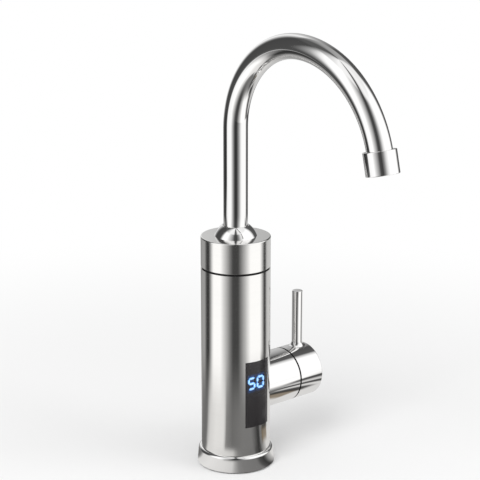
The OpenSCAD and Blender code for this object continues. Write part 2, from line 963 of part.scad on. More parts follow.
module flow_switch_cap() {
    color([0.8, 0.79, 0.74])
        translate([hot_port.x, hot_port.y, 0])
            difference() {
                union() {
                    translate([0, 0, switch_top])
                        disc(switch_r, switch_cap_t);
                    translate([0, 0, switch_top + switch_cap_t])
                        disc(spigot_r, lid_top - switch_top - switch_cap_t);
                }
                translate([0, 0, switch_top - over])
                    disc(switch_cap_bore_r, lid_top);
            }
}

module reed_switch() {
    color([0.7, 0.85, 0.8])
        translate([hot_port.x - switch_r, hot_port.y, reed_z])
            disc(reed_r, reed_len);
}

module flow_plunger() {
    color([0.25, 0.25, 0.28])
        translate([hot_port.x, hot_port.y, plunger_z])
            difference() {
                disc(plunger_r, plunger_h);
                translate([0, 0, plunger_h - magnet_h])
                    disc(magnet_r + nest_gap, magnet_h + over);
                around(plunger_groove_count, plunger_r)
                    translate([0, 0, -over])
                        disc(plunger_groove_r, plunger_h + 2 * over);
            }
}

module plunger_magnet() {
    color([0.5, 0.5, 0.52])
        translate([hot_port.x, hot_port.y, plunger_z + plunger_h - magnet_h])
            disc(magnet_r, magnet_h);
}

spring_z = plunger_z + plunger_h;
spring_h = switch_top - spring_z;
spring_rings = 8;
spring_path = [for (i = [0 : spring_rings * spring_curls])
    [hot_port.x + spring_r * cos(360 * i / spring_rings),
        hot_port.y + spring_r * sin(360 * i / spring_rings),
        spring_z + wire_d / 2 + spring_end_gap
            + (spring_h - wire_d - 2 * spring_end_gap) * i / (spring_rings * spring_curls)]];

module flow_spring() {
    color([0.7, 0.7, 0.72])
        swept_tube(spring_path, wire_d / 2, 6, outward(spring_path, hot_port));
}

echo(least_gap_of_the_coil = self_gap(element_path, coil_steps / 2, element_r));
echo(least_gap_of_the_spring = self_gap(spring_path, spring_rings / 2, wire_d / 2));

// Water ways and valve

module inlet_pipe() {
    color([0.78, 0.5, 0.3])
        translate([0, -shank_offset, plate_top - pipe_seat])
            ring(pipe_r, pipe_bore_r, pipe_top - plate_top + pipe_seat);
}

module cold_feed_pipe() {
    color([0.78, 0.5, 0.3])
        translate([cold_port.x, cold_port.y, feed_z])
            ring(feed_r, feed_r - feed_wall, lid_top - feed_z);
}

module valve_block() {
    color([0.8, 0.66, 0.36])
        difference() {
            union() {
                along_valve(block_x)
                    disc(block_r, block_end - block_x);
                along_valve(manifold_x)
                    disc(manifold_r, block_x - manifold_x);
                translate([0, -shank_offset, pipe_top - pipe_hub_reach])
                    disc(pipe_r + pipe_hub_wall, valve_z - pipe_top + pipe_hub_reach);
                translate([cold_port.x, cold_port.y, valve_z])
                    disc(feed_r + feed_hub_wall, feed_z + feed_hub_reach - valve_z);
            }
            along_valve(seat_x)
                disc(cup_r, block_end);
            water_ways();
        }
}

// Inlet from below at one side, hot way out to the flow switch, cold way up and across to its pipe
module water_ways() {
    translate([0, -shank_offset, valve_z - block_r - over])
        disc(pipe_r + nest_gap, pipe_top - valve_z + block_r + over);
    translate([0, -shank_offset, pipe_top - over])
        disc(pipe_bore_r, switch_port_z - pipe_top + over);
    translate([0, -hot_way_y, switch_port_z])
        rotate([0, 90, 0])
            disc(port_r, seat_x + over);
    translate([manifold_x - over, hot_way_y, switch_port_z])
        rotate([0, 90, 0]) {
            disc(switch_port_r + nest_gap, switch_port_seat + over);
            disc(port_r, seat_x - manifold_x + 2 * over);
        }
    translate([cold_port.x, 0, cold_way_z])
        rotate([0, 90, 0])
            disc(port_r, seat_x - cold_port.x + over);
    translate([cold_port.x, 0, cold_way_z])
        rotate([90, 0, 0])
            disc(cold_way_r, -cold_port.y);
    translate([cold_port.x, cold_port.y, cold_way_z])
        disc(feed_r - feed_wall, feed_z - cold_way_z + over);
    translate([cold_port.x, cold_port.y, feed_z])
        disc(feed_r + nest_gap, feed_hub_reach + over);
}

module valve_sleeve() {
    color([0.88, 0.88, 0.89])
        difference() {
            along_valve(sleeve_start)
                disc(sleeve_r, sleeve_reach - sleeve_start);
            along_valve(sleeve_start - over)
                disc(sleeve_bore_r, rib_x - sleeve_start + over);
            along_valve(sleeve_start)
                disc(block_r + nest_gap, sleeve_reach);
            along_valve(rib_x + rib_t)
                disc(sleeve_bore_r, sleeve_reach);
        }
}

module cartridge_body() {
    color([0.9, 0.88, 0.82])
        difference() {
            along_valve(seat_x)
                disc(cartridge_r, cartridge_len);
            along_valve(fixed_disc_x)
                disc(chamber_r, cartridge_len - cartridge_floor_t - cartridge_head_t);
            along_valve(fixed_disc_x)
                disc(stem_r + run_gap, cartridge_len);
            along_valve(seat_x - over)
                around(port_count, port_ring_r, port_turn)
                    disc(port_r + seal_wall + nest_gap, cartridge_floor_t + 2 * over);
        }
}

module port_seals() {
    color([0.1, 0.1, 0.1])
        along_valve(seat_x)
            around(port_count, port_ring_r, port_turn)
                ring(port_r + seal_wall, port_r, cartridge_floor_t);
}

module fixed_disc() {
    color([0.95, 0.95, 0.93])
        along_valve(fixed_disc_x)
            difference() {
                disc(disc_r, disc_t);
                translate([0, 0, -over])
                    around(port_count, port_ring_r, port_turn)
                        disc(disc_port_r, disc_t + 2 * over);
            }
}

module moving_disc() {
    color([0.97, 0.97, 0.95])
        along_valve(moving_disc_x)
            difference() {
                disc(disc_r - end_gap, disc_t);
                translate([0, 0, -over])
                    rotate(180)
                        rotate_extrude(angle = pocket_angle)
                            translate([port_ring_r - port_r + pocket_margin, 0])
                                square([2 * (port_r - pocket_margin), disc_t - pocket_roof_t + over]);
            }
}

module cartridge_stem() {
    color([0.78, 0.64, 0.35])
        union() {
            along_valve(carrier_x)
                disc(disc_r - end_gap, carrier_t);
            along_valve(carrier_x)
                disc(stem_r, hub_x - end_gap - carrier_x);
            translate([hub_x - stem_shoulder, -stem_square / 2, valve_z - stem_square / 2])
                cube([stem_end - hub_x + stem_shoulder, stem_square, stem_square]);
        }
}

module cartridge_nut() {
    color([0.8, 0.66, 0.36])
        along_valve(cartridge_end)
            ring(cartridge_r, cartridge_nut_bore_r, cartridge_nut_t);
}

module handle_seam_ring() {
    color([0.05, 0.05, 0.05])
        along_valve(sleeve_reach)
            ring(sleeve_r - handle_seam_inset, handle_seam_bore_r, handle_seam_w);
}

module handle_cap() {
    color([0.88, 0.88, 0.89])
        difference() {
            along_valve(handle_x)
                rotate_extrude()
                    difference() {
                        union() {
                            square([sleeve_r, handle_len - handle_edge_r]);
                            square([sleeve_r - handle_edge_r, handle_len]);
                            translate([sleeve_r - handle_edge_r, handle_len - handle_edge_r])
                                circle(r = handle_edge_r);
                        }
                        translate([hub_r, -over])
                            square([sleeve_r - handle_wall - hub_r, handle_len - handle_wall + over]);
                        translate([0, -over])
                            square([hub_r + over, hub_x - handle_x + over]);
                    }
            translate([hub_x - over, -stem_square / 2 - nest_gap, valve_z - stem_square / 2 - nest_gap])
                cube([stem_end - hub_x + over + stem_end_gap, stem_square + 2 * nest_gap,
                    stem_square + 2 * nest_gap]);
            translate([lever_x, 0, valve_z + hub_r - lever_seat])
                disc(lever_r + nest_gap, sleeve_r);
            translate([grub_x, 0, valve_z - sleeve_r - over])
                disc(grub_r + nest_gap, sleeve_r + over);
        }
}

module grub_screw() {
    color([0.3, 0.3, 0.32])
        translate([grub_x, 0, valve_z - hub_r - grub_show])
            disc(grub_r, hub_r + grub_show - stem_square / 2 - nest_gap);
}

// The flare rises from the round handle to the lever in a quarter round, with a level top.
flare_sides = 32;
flare_steps = 6;
flare_sink = 0.15;
flare_skin = 0.06;
flare_foot_r = lever_r + flare_skin + flare_r;
function flare_foot(a) = sqrt(sleeve_r * sleeve_r - pow(flare_foot_r * sin(a), 2)) - flare_sink;
function flare_point(a, t) =
    let (r = flare_foot_r - flare_r * sin(t), foot = flare_foot(a))
    [r * cos(a), r * sin(a), foot + (sleeve_r + flare_r - foot) * (1 - cos(t))];
function flare_ring(t) = [for (k = [0 : flare_sides - 1]) flare_point(360 * k / flare_sides, t)];

module lever_flare() {
    floor_ring = [for (q = flare_ring(0)) [q.x, q.y, sleeve_r / 2]];
    rings = concat([floor_ring], [for (i = [0 : flare_steps]) flare_ring(90 * i / flare_steps)]);
    points = [for (s = rings) for (q = s) q];
    top = len(rings) - 1;
    walls = [for (i = [0 : top - 1]) for (k = [0 : flare_sides - 1])
        let (m = (k + 1) % flare_sides, j = i + 1)
        for (f = [[i * flare_sides + k, j * flare_sides + k, j * flare_sides + m],
                [i * flare_sides + k, j * flare_sides + m, i * flare_sides + m]])
            f];
    ends = [[for (k = [0 : flare_sides - 1]) k],
        [for (k = [flare_sides - 1 : -1 : 0]) top * flare_sides + k]];
    difference() {
        polyhedron(points = points, faces = concat(walls, ends), convexity = 6);
        translate([-body_r, 0, 0])
            rotate([0, 90, 0])
                disc(sleeve_r + run_gap, body_d);
    }
}

module lever_rod() {
    foot = hub_r - lever_seat + run_gap;
    color([0.88, 0.88, 0.89])
        translate([lever_x, 0, valve_z]) {
            rotate_extrude()
                union() {
                    translate([0, foot])
                        square([lever_r, lever_reach - foot - lever_edge_r]);
                    translate([0, lever_reach - lever_edge_r])
                        square([lever_r - lever_edge_r, lever_edge_r]);
                    intersection() {
                        translate([lever_r - lever_edge_r, lever_reach - lever_edge_r])
                            circle(r = lever_edge_r);
                        translate([0, lever_reach - lever_edge_r])
                            square([lever_r, lever_edge_r]);
                    }
                }
            lever_flare();
        }
}

// Spout

module spout_socket() {
    color([0.8, 0.66, 0.36])
        difference() {
            union() {
                translate([0, 0, socket_flange_z])
                    disc(inner_r, seam_z - socket_flange_z);
                translate([0, 0, seam_z])
                    disc(seam_bore_r - nest_gap, spigot_top - seam_z);
                translate([0, 0, spigot_top])
                    disc(socket_r, socket_top - spigot_top);
            }
            translate([0, 0, socket_flange_z - over])
                disc(tank_neck_r + nest_gap, tank_top + tank_roof_t + tank_neck_h - socket_flange_z + over);
            translate([0, 0, socket_flange_z])
                disc(tank_neck_bore_r, cap_top);
            translate([0, 0, foot_z - end_gap])
                disc(socket_bore_r, cap_top);
            translate([0, 0, bush_z])
                disc(bush_r + nest_gap, cap_top);
        }
}

module spout_bush() {
    color([0.9, 0.9, 0.86])
        translate([0, 0, bush_z])
            ring(bush_r, tube_r + run_gap, bush_t);
}

// The collar is a slice of a ball whose centre lies below the cap's top.
module spout_collar() {
    foot = collar_d / 2;
    top = tube_r + collar_gap + collar_top_w;
    sink = (foot * foot - top * top - collar_h * collar_h) / (2 * collar_h);
    color([0.88, 0.88, 0.89])
        difference() {
            union() {
                translate([0, 0, cap_top])
                    rotate_extrude()
                        intersection() {
                            square([foot, collar_h]);
                            translate([0, -sink])
                                circle(r = norm([foot, sink]));
                        }
                translate([0, 0, cap_top - neck_depth])
                    disc(neck_r, neck_depth);
            }
            translate([0, 0, cap_top - neck_depth - over])
                disc(tube_r + collar_gap, neck_depth + collar_h + 2 * over);
        }
}

module tube_section() {
    difference() {
        circle(r = tube_r);
        circle(r = tube_bore_r);
    }
}

// A bend in the plane of the spout, turning from one angle to another about its own centre
module bend(radius, from, sweep) {
    rotate([90, 0, 90])
        rotate([0, 0, from])
            rotate_extrude(angle = sweep)
                translate([radius, 0])
                    tube_section();
}

module spout_pipe() {
    color([0.9, 0.9, 0.91]) {
        translate([0, 0, foot_z])
            ring(tube_r, tube_bore_r, riser_top - foot_z);
        translate([0, -first_bend_r, riser_top])
            bend(first_bend_r, 0, 90);
        translate([0, -first_bend_r, riser_top + first_bend_r - second_bend_r])
            bend(second_bend_r, 90, spout_sweep - 90);
    }
}

module at_outlet() {
    translate([0, outlet_y, outlet_z])
        rotate([spout_sweep, 0, 0])
            children();
}

module spout_foot() {
    color([0.8, 0.66, 0.36])
        translate([0, 0, foot_z])
            difference() {
                ring(foot_r, tube_r + nest_gap, foot_len);
                for (i = [0 : o_ring_count - 1])
                    translate([0, 0, groove_z + i * groove_pitch])
                        ring(foot_r + over, foot_r - groove_depth, groove_w);
            }
}

module spout_o_rings() {
    color([0.06, 0.06, 0.06])
        for (i = [0 : o_ring_count - 1])
            translate([0, 0, foot_z + groove_z + i * groove_pitch + groove_w / 2])
                rotate_extrude()
                    translate([foot_r - ring_section_r, 0])
                        circle(r = ring_section_r - run_gap / 2, $fn = 48);
}

module aerator_housing() {
    color([0.88, 0.88, 0.89])
        at_outlet()
            translate([0, 0, -aerator_overlap])
                difference() {
                    disc(aerator_d / 2, aerator_len);
                    translate([0, 0, -over])
                        disc(tube_r + bend_gap, aerator_overlap + over);
                    translate([0, 0, -over])
                        disc(tube_bore_r, aerator_len + 2 * over);
                    translate([0, 0, aerator_overlap + aerator_shoulder])
                        disc(aerator_d / 2 - aerator_wall, aerator_len);
                }
}

module aerator_washer() {
    color([0.1, 0.1, 0.1])
        at_outlet()
            translate([0, 0, aerator_shoulder])
                ring(aerator_d / 2 - aerator_wall - nest_gap, tube_bore_r - aerator_washer_lip,
                    aerator_washer_t);
}

// A honeycomb of square cells straightens the water.
insert_cell = 2.6;
insert_rib = 0.9;
insert_cells = 5;

module aerator_insert() {
    top = aerator_shoulder + aerator_washer_t;
    length = aerator_len - aerator_overlap - insert_recess - top;
    pitch = insert_cell + insert_rib;
    middle = (insert_cells - 1) / 2;
    color([0.85, 0.86, 0.88])
        at_outlet()
            translate([0, 0, top])
                difference() {
                    disc(aerator_d / 2 - aerator_wall - nest_gap, length);
                    for (i = [-middle : middle])
                        for (j = [-middle : middle])
                            if (abs(i) + abs(j) < 2 * middle)
                                translate([i * pitch - insert_cell / 2, j * pitch - insert_cell / 2, -over])
                                    cube([insert_cell, insert_cell, length + 2 * over]);
                }
}

deck_gasket();
base_flange();
base_plate();
base_screws();
inlet_shank();
rubber_washer();
steel_washer();
lock_nut();
cable_gland();
body_shell();
seam_ring();
top_cap();
spout_socket();
spout_bush();
spout_collar();
heater_tank();
tank_lid();
tank_seal();
tank_screws();
heating_element();
element_nuts();
element_terminals();
thermal_cutout();
temperature_sensor();
control_board();
relay();
terminal_block();
display_frame();
display_board();
display_module();
digit_segments();
display_window();
flow_switch_housing();
flow_switch_cap();
reed_switch();
inlet_pipe();
cold_feed_pipe();
valve_block();
valve_sleeve();
cartridge_body();
fixed_disc();
port_seals();
cartridge_nut();
handle_seam_ring();
handle_cap();
lever_rod();
grub_screw();
cartridge_stem();
moving_disc();
spout_pipe();
spout_foot();
spout_o_rings();
aerator_housing();
aerator_insert();
aerator_washer();
flow_plunger();
plunger_magnet();
flow_spring();
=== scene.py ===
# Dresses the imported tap: finishes for every piece, finer visible pieces, floor, light and camera.
import json
import math

import bmesh
import bpy
from mathutils import Matrix, Vector


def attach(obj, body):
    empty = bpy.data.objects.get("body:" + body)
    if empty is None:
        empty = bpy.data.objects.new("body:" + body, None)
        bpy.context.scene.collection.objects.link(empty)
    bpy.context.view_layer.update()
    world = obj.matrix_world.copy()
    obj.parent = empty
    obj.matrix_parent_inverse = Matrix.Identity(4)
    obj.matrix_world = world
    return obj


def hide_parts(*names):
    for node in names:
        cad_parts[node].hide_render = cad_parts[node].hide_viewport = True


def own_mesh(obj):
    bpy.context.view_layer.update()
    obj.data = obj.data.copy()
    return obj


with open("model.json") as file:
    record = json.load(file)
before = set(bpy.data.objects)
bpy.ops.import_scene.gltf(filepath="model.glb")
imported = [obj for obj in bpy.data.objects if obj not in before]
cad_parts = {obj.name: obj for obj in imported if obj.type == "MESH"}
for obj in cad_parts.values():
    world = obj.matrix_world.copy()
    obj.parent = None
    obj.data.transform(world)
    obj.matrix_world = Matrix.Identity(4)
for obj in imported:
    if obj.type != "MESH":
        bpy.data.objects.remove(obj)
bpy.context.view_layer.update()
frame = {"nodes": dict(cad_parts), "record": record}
scene = bpy.context.scene
mm = 0.001
fullTurn = 2 * math.pi
print("frame loaded:", len(frame["nodes"]), "nodes")


# small helpers for node trees
def fillInputs(tree, node, inputs):
    # a socket is joined to the input, any other value is set on it
    for key, value in inputs.items():
        if isinstance(value, bpy.types.NodeSocket):
            tree.links.new(value, node.inputs[key])
        else:
            node.inputs[key].default_value = value


def addNode(tree, kind, inputs=None, **values):
    node = tree.nodes.new(kind)
    for key, value in values.items():
        setattr(node, key, value)
    fillInputs(tree, node, inputs or {})
    return node


def firstOut(tree, kind, inputs=None, **values):
    return addNode(tree, kind, inputs, **values).outputs[0]


def objectPlace(tree):
    return addNode(tree, "ShaderNodeTexCoord").outputs["Object"]


def mathNode(tree, operation, *values, clamp=False):
    return firstOut(tree, "ShaderNodeMath", dict(enumerate(values)), operation=operation, use_clamp=clamp)


def vectorNode(tree, operation, *vectors, scale=None):
    inputs = dict(enumerate(vectors))
    if scale is not None:
        inputs["Scale"] = scale
    node = addNode(tree, "ShaderNodeVectorMath", inputs, operation=operation)
    return node.outputs["Value" if operation == "LENGTH" else "Vector"]


def remapNode(tree, value, fromLow, fromHigh, toLow=0.0, toHigh=1.0, kind="SMOOTHSTEP"):
    inputs = {"Value": value, "From Min": fromLow, "From Max": fromHigh, "To Min": toLow, "To Max": toHigh}
    return firstOut(tree, "ShaderNodeMapRange", inputs, interpolation_type=kind)


def mixColors(tree, share, first, second):
    return addNode(tree, "ShaderNodeMix", {0: share, 6: first, 7: second}, data_type="RGBA").outputs[2]


def startGroup(name, inputs, outputs, kind="ShaderNodeTree"):
    # inputs are (label, socket kind, value); the group comes back with its input sockets and its output node
    group = bpy.data.node_groups.new(name, kind)
    for label, socketKind, value in inputs:
        socket = group.interface.new_socket(label, in_out="INPUT", socket_type="NodeSocket" + socketKind)
        if value is not None:
            socket.default_value = value
    for label, socketKind in outputs:
        group.interface.new_socket(label, in_out="OUTPUT", socket_type="NodeSocket" + socketKind)
    return group, addNode(group, "NodeGroupInput").outputs, addNode(group, "NodeGroupOutput")


def emptyTree(owner):
    owner.use_nodes = True
    owner.node_tree.nodes.clear()
    return owner.node_tree


# shared surface effects
def startSurface(name, ownInput):
    inputs = [
        ("Vector", "Vector", None), ownInput, ("Base Color", "Color", (0.5, 0.5, 0.5, 1.0)),
        ("Tone Spread", "Float", 0.05), ("Roughness", "Float", 0.4), ("Roughness Spread", "Float", 0.08),
    ]
    return startGroup(name, inputs, [("Color", "Color"), ("Roughness", "Float"), ("Height", "Float")])


def noiseNode(tree, vector, scale, detail, roughness=0.5):
    inputs = {"Vector": vector, "Scale": scale, "Detail": detail, "Roughness": roughness}
    return firstOut(tree, "ShaderNodeTexNoise", inputs)


def signedMask(group, noise):
    return remapNode(group, noise, 0.3, 0.7, -1.0, 1.0, "LINEAR")


def endSurface(group, source, sink, mask, height):
    # the mask runs from -1 to 1 and shifts the tone and the roughness by their spreads
    tone = mathNode(group, "MULTIPLY_ADD", mask, source["Tone Spread"], 1.0)
    rough = mathNode(group, "MULTIPLY_ADD", mask, source["Roughness Spread"], source["Roughness"], clamp=True)
    tinted = vectorNode(group, "SCALE", source["Base Color"], scale=tone)
    fillInputs(group, sink, {"Color": tinted, "Roughness": rough, "Height": height})
    return group


def makeGrainGroup():
    # fine parallel lines from brushing: the stretch is large across the lines and small along them
    group, source, sink = startSurface("brushedGrain", ("Stretch", "Vector", (1.0, 1.0, 1.0)))
    stretched = vectorNode(group, "MULTIPLY", source["Vector"], source["Stretch"])
    lines = noiseNode(group, stretched, scale=1.0, detail=6.0, roughness=0.65)
    clouds = noiseNode(group, source["Vector"], scale=34.0, detail=3.0)
    cloudShare = 0.35
    mask = mathNode(group, "MULTIPLY_ADD", signedMask(group, clouds), cloudShare, signedMask(group, lines))
    return endSurface(group, source, sink, mask, lines)


def makeMottleGroup():
    # cloudy change of tone and gloss for moulded, cast, fired or rubbery surfaces
    group, source, sink = startSurface("mouldedMottle", ("Grain Scale", "Float", 900.0))
    grain = noiseNode(group, source["Vector"], source["Grain Scale"], detail=4.0)
    clouds = noiseNode(group, source["Vector"], scale=60.0, detail=2.0)
    return endSurface(group, source, sink, signedMask(group, clouds), grain)


grainGroup = makeGrainGroup()
mottleGroup = makeMottleGroup()


def surfaceMaterial(name, group, own, color, roughness, tone, spread, depth, shaderValues):
    material = bpy.data.materials.new(name)
    material.use_nodes = True
    tree = material.node_tree
    effect = addNode(tree, "ShaderNodeGroup", {
        "Vector": objectPlace(tree), "Base Color": (*color, 1.0), "Tone Spread": tone,
        "Roughness": roughness, "Roughness Spread": spread, **own,
    }, node_tree=group)
    height = effect.outputs["Height"]
    bump = addNode(tree, "ShaderNodeBump", {"Strength": 1.0, "Distance": depth, "Height": height})
    labelled = {key.replace("_", " "): value for key, value in shaderValues.items()}
    fillInputs(tree, tree.nodes["Principled BSDF"], {
        "Base Color": effect.outputs["Color"], "Roughness": effect.outputs["Roughness"],
        "Normal": bump.outputs["Normal"], **labelled,
    })
    return material


def metal(name, color, roughness, stretch, tone=0.03, spread=0.03, depth=2e-6):
    own = {"Stretch": stretch}
    return surfaceMaterial(name, grainGroup, own, color, roughness, tone, spread, depth, {"Metallic": 1.0})


def moulded(name, color, roughness, scale=900.0, tone=0.06, spread=0.06, depth=1e-5, **shaderValues):
    own = {"Grain Scale": scale}
    return surfaceMaterial(name, mottleGroup, own, color, roughness, tone, spread, depth, shaderValues)


aroundZ = (25.0, 25.0, 3200.0)   # lines that run round an upright tube
alongZ = (2600.0, 2600.0, 12.0)  # lines that run up and down
evenly = (700.0, 700.0, 700.0)
finishes = {
    "satin_steel": metal("satinSteel", (0.9, 0.893, 0.88), 0.11, aroundZ, 0.025, 0.025, 8e-7),
    "polished_steel": metal("polishedSteel", (0.94, 0.935, 0.93), 0.05, alongZ, 0.012, 0.015, 1e-7),
    "plain_steel": metal("plainSteel", (0.6, 0.6, 0.6), 0.32, evenly, 0.06, 0.08, 5e-6),
    "element_steel": metal("elementSteel", (0.42, 0.41, 0.4), 0.42, evenly, 0.12, 0.1, 1e-5),
    "brass": metal("castBrass", (0.78, 0.6, 0.32), 0.34, evenly, 0.07, 0.08, 1.2e-5),
    "copper": metal("drawnCopper", (0.82, 0.47, 0.3), 0.26, alongZ, 0.07, 0.06, 3e-6),
    "black_rubber": moulded("blackRubber", (0.007, 0.007, 0.0075), 0.8, 1500.0, Specular_IOR_Level=0.2),
    "red_rubber": moulded("redRubber", (0.55, 0.07, 0.04), 0.55, 1500.0),
    "black_plastic": moulded("blackPlastic", (0.009, 0.009, 0.0095), 0.6, Specular_IOR_Level=0.3),
    "window_plastic": moulded("smokedWindow", (0.135, 0.125, 0.13), 0.16, 400.0, spread=0.02, depth=2e-7,
                              Transmission_Weight=0.82, IOR=1.38),
    "digit_plastic": moulded("unlitBar", (0.02, 0.024, 0.03), 0.4),
    "white_plastic": moulded("whitePlastic", (0.82, 0.81, 0.78), 0.4),
    "ceramic": moulded("firedCeramic", (0.86, 0.83, 0.76), 0.14, 1200.0, depth=4e-6),
    "board_green": moulded("boardGreen", (0.03, 0.19, 0.08), 0.35, 500.0),
    "terminal_green": moulded("terminalGreen", (0.05, 0.33, 0.13), 0.4),
    "relay_blue": moulded("relayBlue", (0.05, 0.14, 0.42), 0.35),
    "cutout_cream": moulded("cutoutCream", (0.72, 0.64, 0.48), 0.5),
    "reed_glass": moulded("reedGlass", (0.75, 0.9, 0.82), 0.08, depth=1e-6,
                          Transmission_Weight=0.85, IOR=1.48),
}
print("finishes made:", len(finishes))


def dressNodes():
    slotOf = {part["node"]: part["material_slot"] for part in frame["record"]["subparts"]}
    for name, piece in frame["nodes"].items():
        piece.data.materials.clear()
        piece.data.materials.append(finishes[slotOf[name]])


dressNodes()


# helpers for finer pieces
def addObject(name, data):
    item = bpy.data.objects.new(name, data)
    scene.collection.objects.link(item)
    return item


def placePiece(name, mesh, slot, body, nodes, sharpAngle=32.0, material=None):
    piece = addObject(name, mesh)
    mesh.materials.clear()
    mesh.materials.append(material or finishes[slot])
    mesh.shade_smooth()
    mesh.set_sharp_from_angle(angle=math.radians(sharpAngle))
    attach(piece, body)
    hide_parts(*nodes)
    return piece


def meshFromShape(name, shape, place=None):
    bmesh.ops.recalc_face_normals(shape, faces=shape.faces)
    if place:
        shape.transform(place)
    mesh = bpy.data.meshes.new(name)
    shape.to_mesh(mesh)
    shape.free()
    return mesh


def roundCorners(corners, steps=5):
    # each corner is (radius, height, rounding), in millimetres
    outline = []
    count = len(corners)
    for index, (radius, height, rounding) in enumerate(corners):
        here = Vector((radius, height))
        before = Vector(corners[index - 1][:2]) - here
        after = Vector(corners[(index + 1) % count][:2]) - here
        if rounding <= 0:
            outline.append((radius, height))
            continue
        half = before.angle(after) / 2
        reach = rounding / math.tan(half)
        start = here + before.normalized() * reach
        end = here + after.normalized() * reach
        # a row close to each end of the rounding keeps the shading of the long faces straight
        margins = [min(0.35, 0.3 * max(0.0, side.length - reach)) for side in (before, after)]
        middle = here + (before.normalized() + after.normalized()).normalized() * rounding / math.sin(half)
        outline.append(tuple(start + before.normalized() * margins[0]))
        for step in range(steps + 1):
            ray = (start - middle).slerp(end - middle, step / steps).normalized()
            outline.append(tuple(middle + ray * rounding))
        outline.append(tuple(end + after.normalized() * margins[1]))
    return outline


def joinRings(shape, rings):
    # a ring of one vertex is a point on the axis
    for lower, upper in zip(rings, rings[1:]):
        for k in range(max(len(lower), len(upper))):
            corners = []
            for ring, index in ((lower, k), (lower, k + 1), (upper, k + 1), (upper, k)):
                vert = ring[index % len(ring)]
                if vert not in corners:
                    corners.append(vert)
            shape.faces.new(corners)


def turnMesh(name, rows, sides, place=None, ends="joined", unit=mm):
    # each row is (radius, height) or a function of the turn that gives them; ends are joined, capped or open
    shape = bmesh.new()
    rings = []
    for row in rows:
        onAxis = not callable(row) and row[0] == 0
        ring = []
        for k in range(1 if onAxis else sides):
            turn = fullTurn * k / sides
            radius, height = row(turn) if callable(row) else row
            spot = Vector((radius * math.cos(turn), radius * math.sin(turn), height))
            ring.append(shape.verts.new(spot * unit))
        rings.append(ring)
    joinRings(shape, rings + rings[:1] if ends == "joined" else rings)
    if ends == "capped":
        shape.faces.new(rings[0])
        shape.faces.new(rings[-1])
    return meshFromShape(name, shape, place)


def pathMesh(name, points):
    mesh = bpy.data.meshes.new(name)
    edges = [(k, k + 1) for k in range(len(points) - 1)]
    mesh.from_pydata([Vector(point) * mm for point in points], edges, [])
    return mesh


def growMesh(name, source, group, values):
    # runs a geometry tree on the source mesh and keeps the plain result
    carrier = addObject(name + "Carrier", source)
    modifier = carrier.modifiers.new(name, "NODES")
    modifier.node_group = group
    for item in group.interface.items_tree:
        if item.in_out == "INPUT" and item.name in values:
            modifier[item.identifier] = values[item.name]
    mesh = bpy.data.meshes.new_from_object(carrier.evaluated_get(bpy.context.evaluated_depsgraph_get()))
    carrier.modifiers.remove(modifier)
    bpy.data.objects.remove(carrier)
    shape = bmesh.new()
    shape.from_mesh(mesh)
    return meshFromShape(name, shape)


def startTree(name, inputs):
    inputs = [("Geometry", "Geometry", None), *inputs, ("Material", "Material", None)]
    return startGroup(name, inputs, [("Geometry", "Geometry")], "GeometryNodeTree")


def endTree(tree, geometry, source, sink):
    real = firstOut(tree, "GeometryNodeRealizeInstances", {0: geometry})
    finish = firstOut(tree, "GeometryNodeSetMaterial", {"Geometry": real, "Material": source["Material"]})
    fillInputs(tree, sink, {"Geometry": finish})
    return tree


def endCopies(tree, points, source, sink):
    inputs = {"Points": points, "Instance": source["Geometry"]}
    return endTree(tree, firstOut(tree, "GeometryNodeInstanceOnPoints", inputs), source, sink)


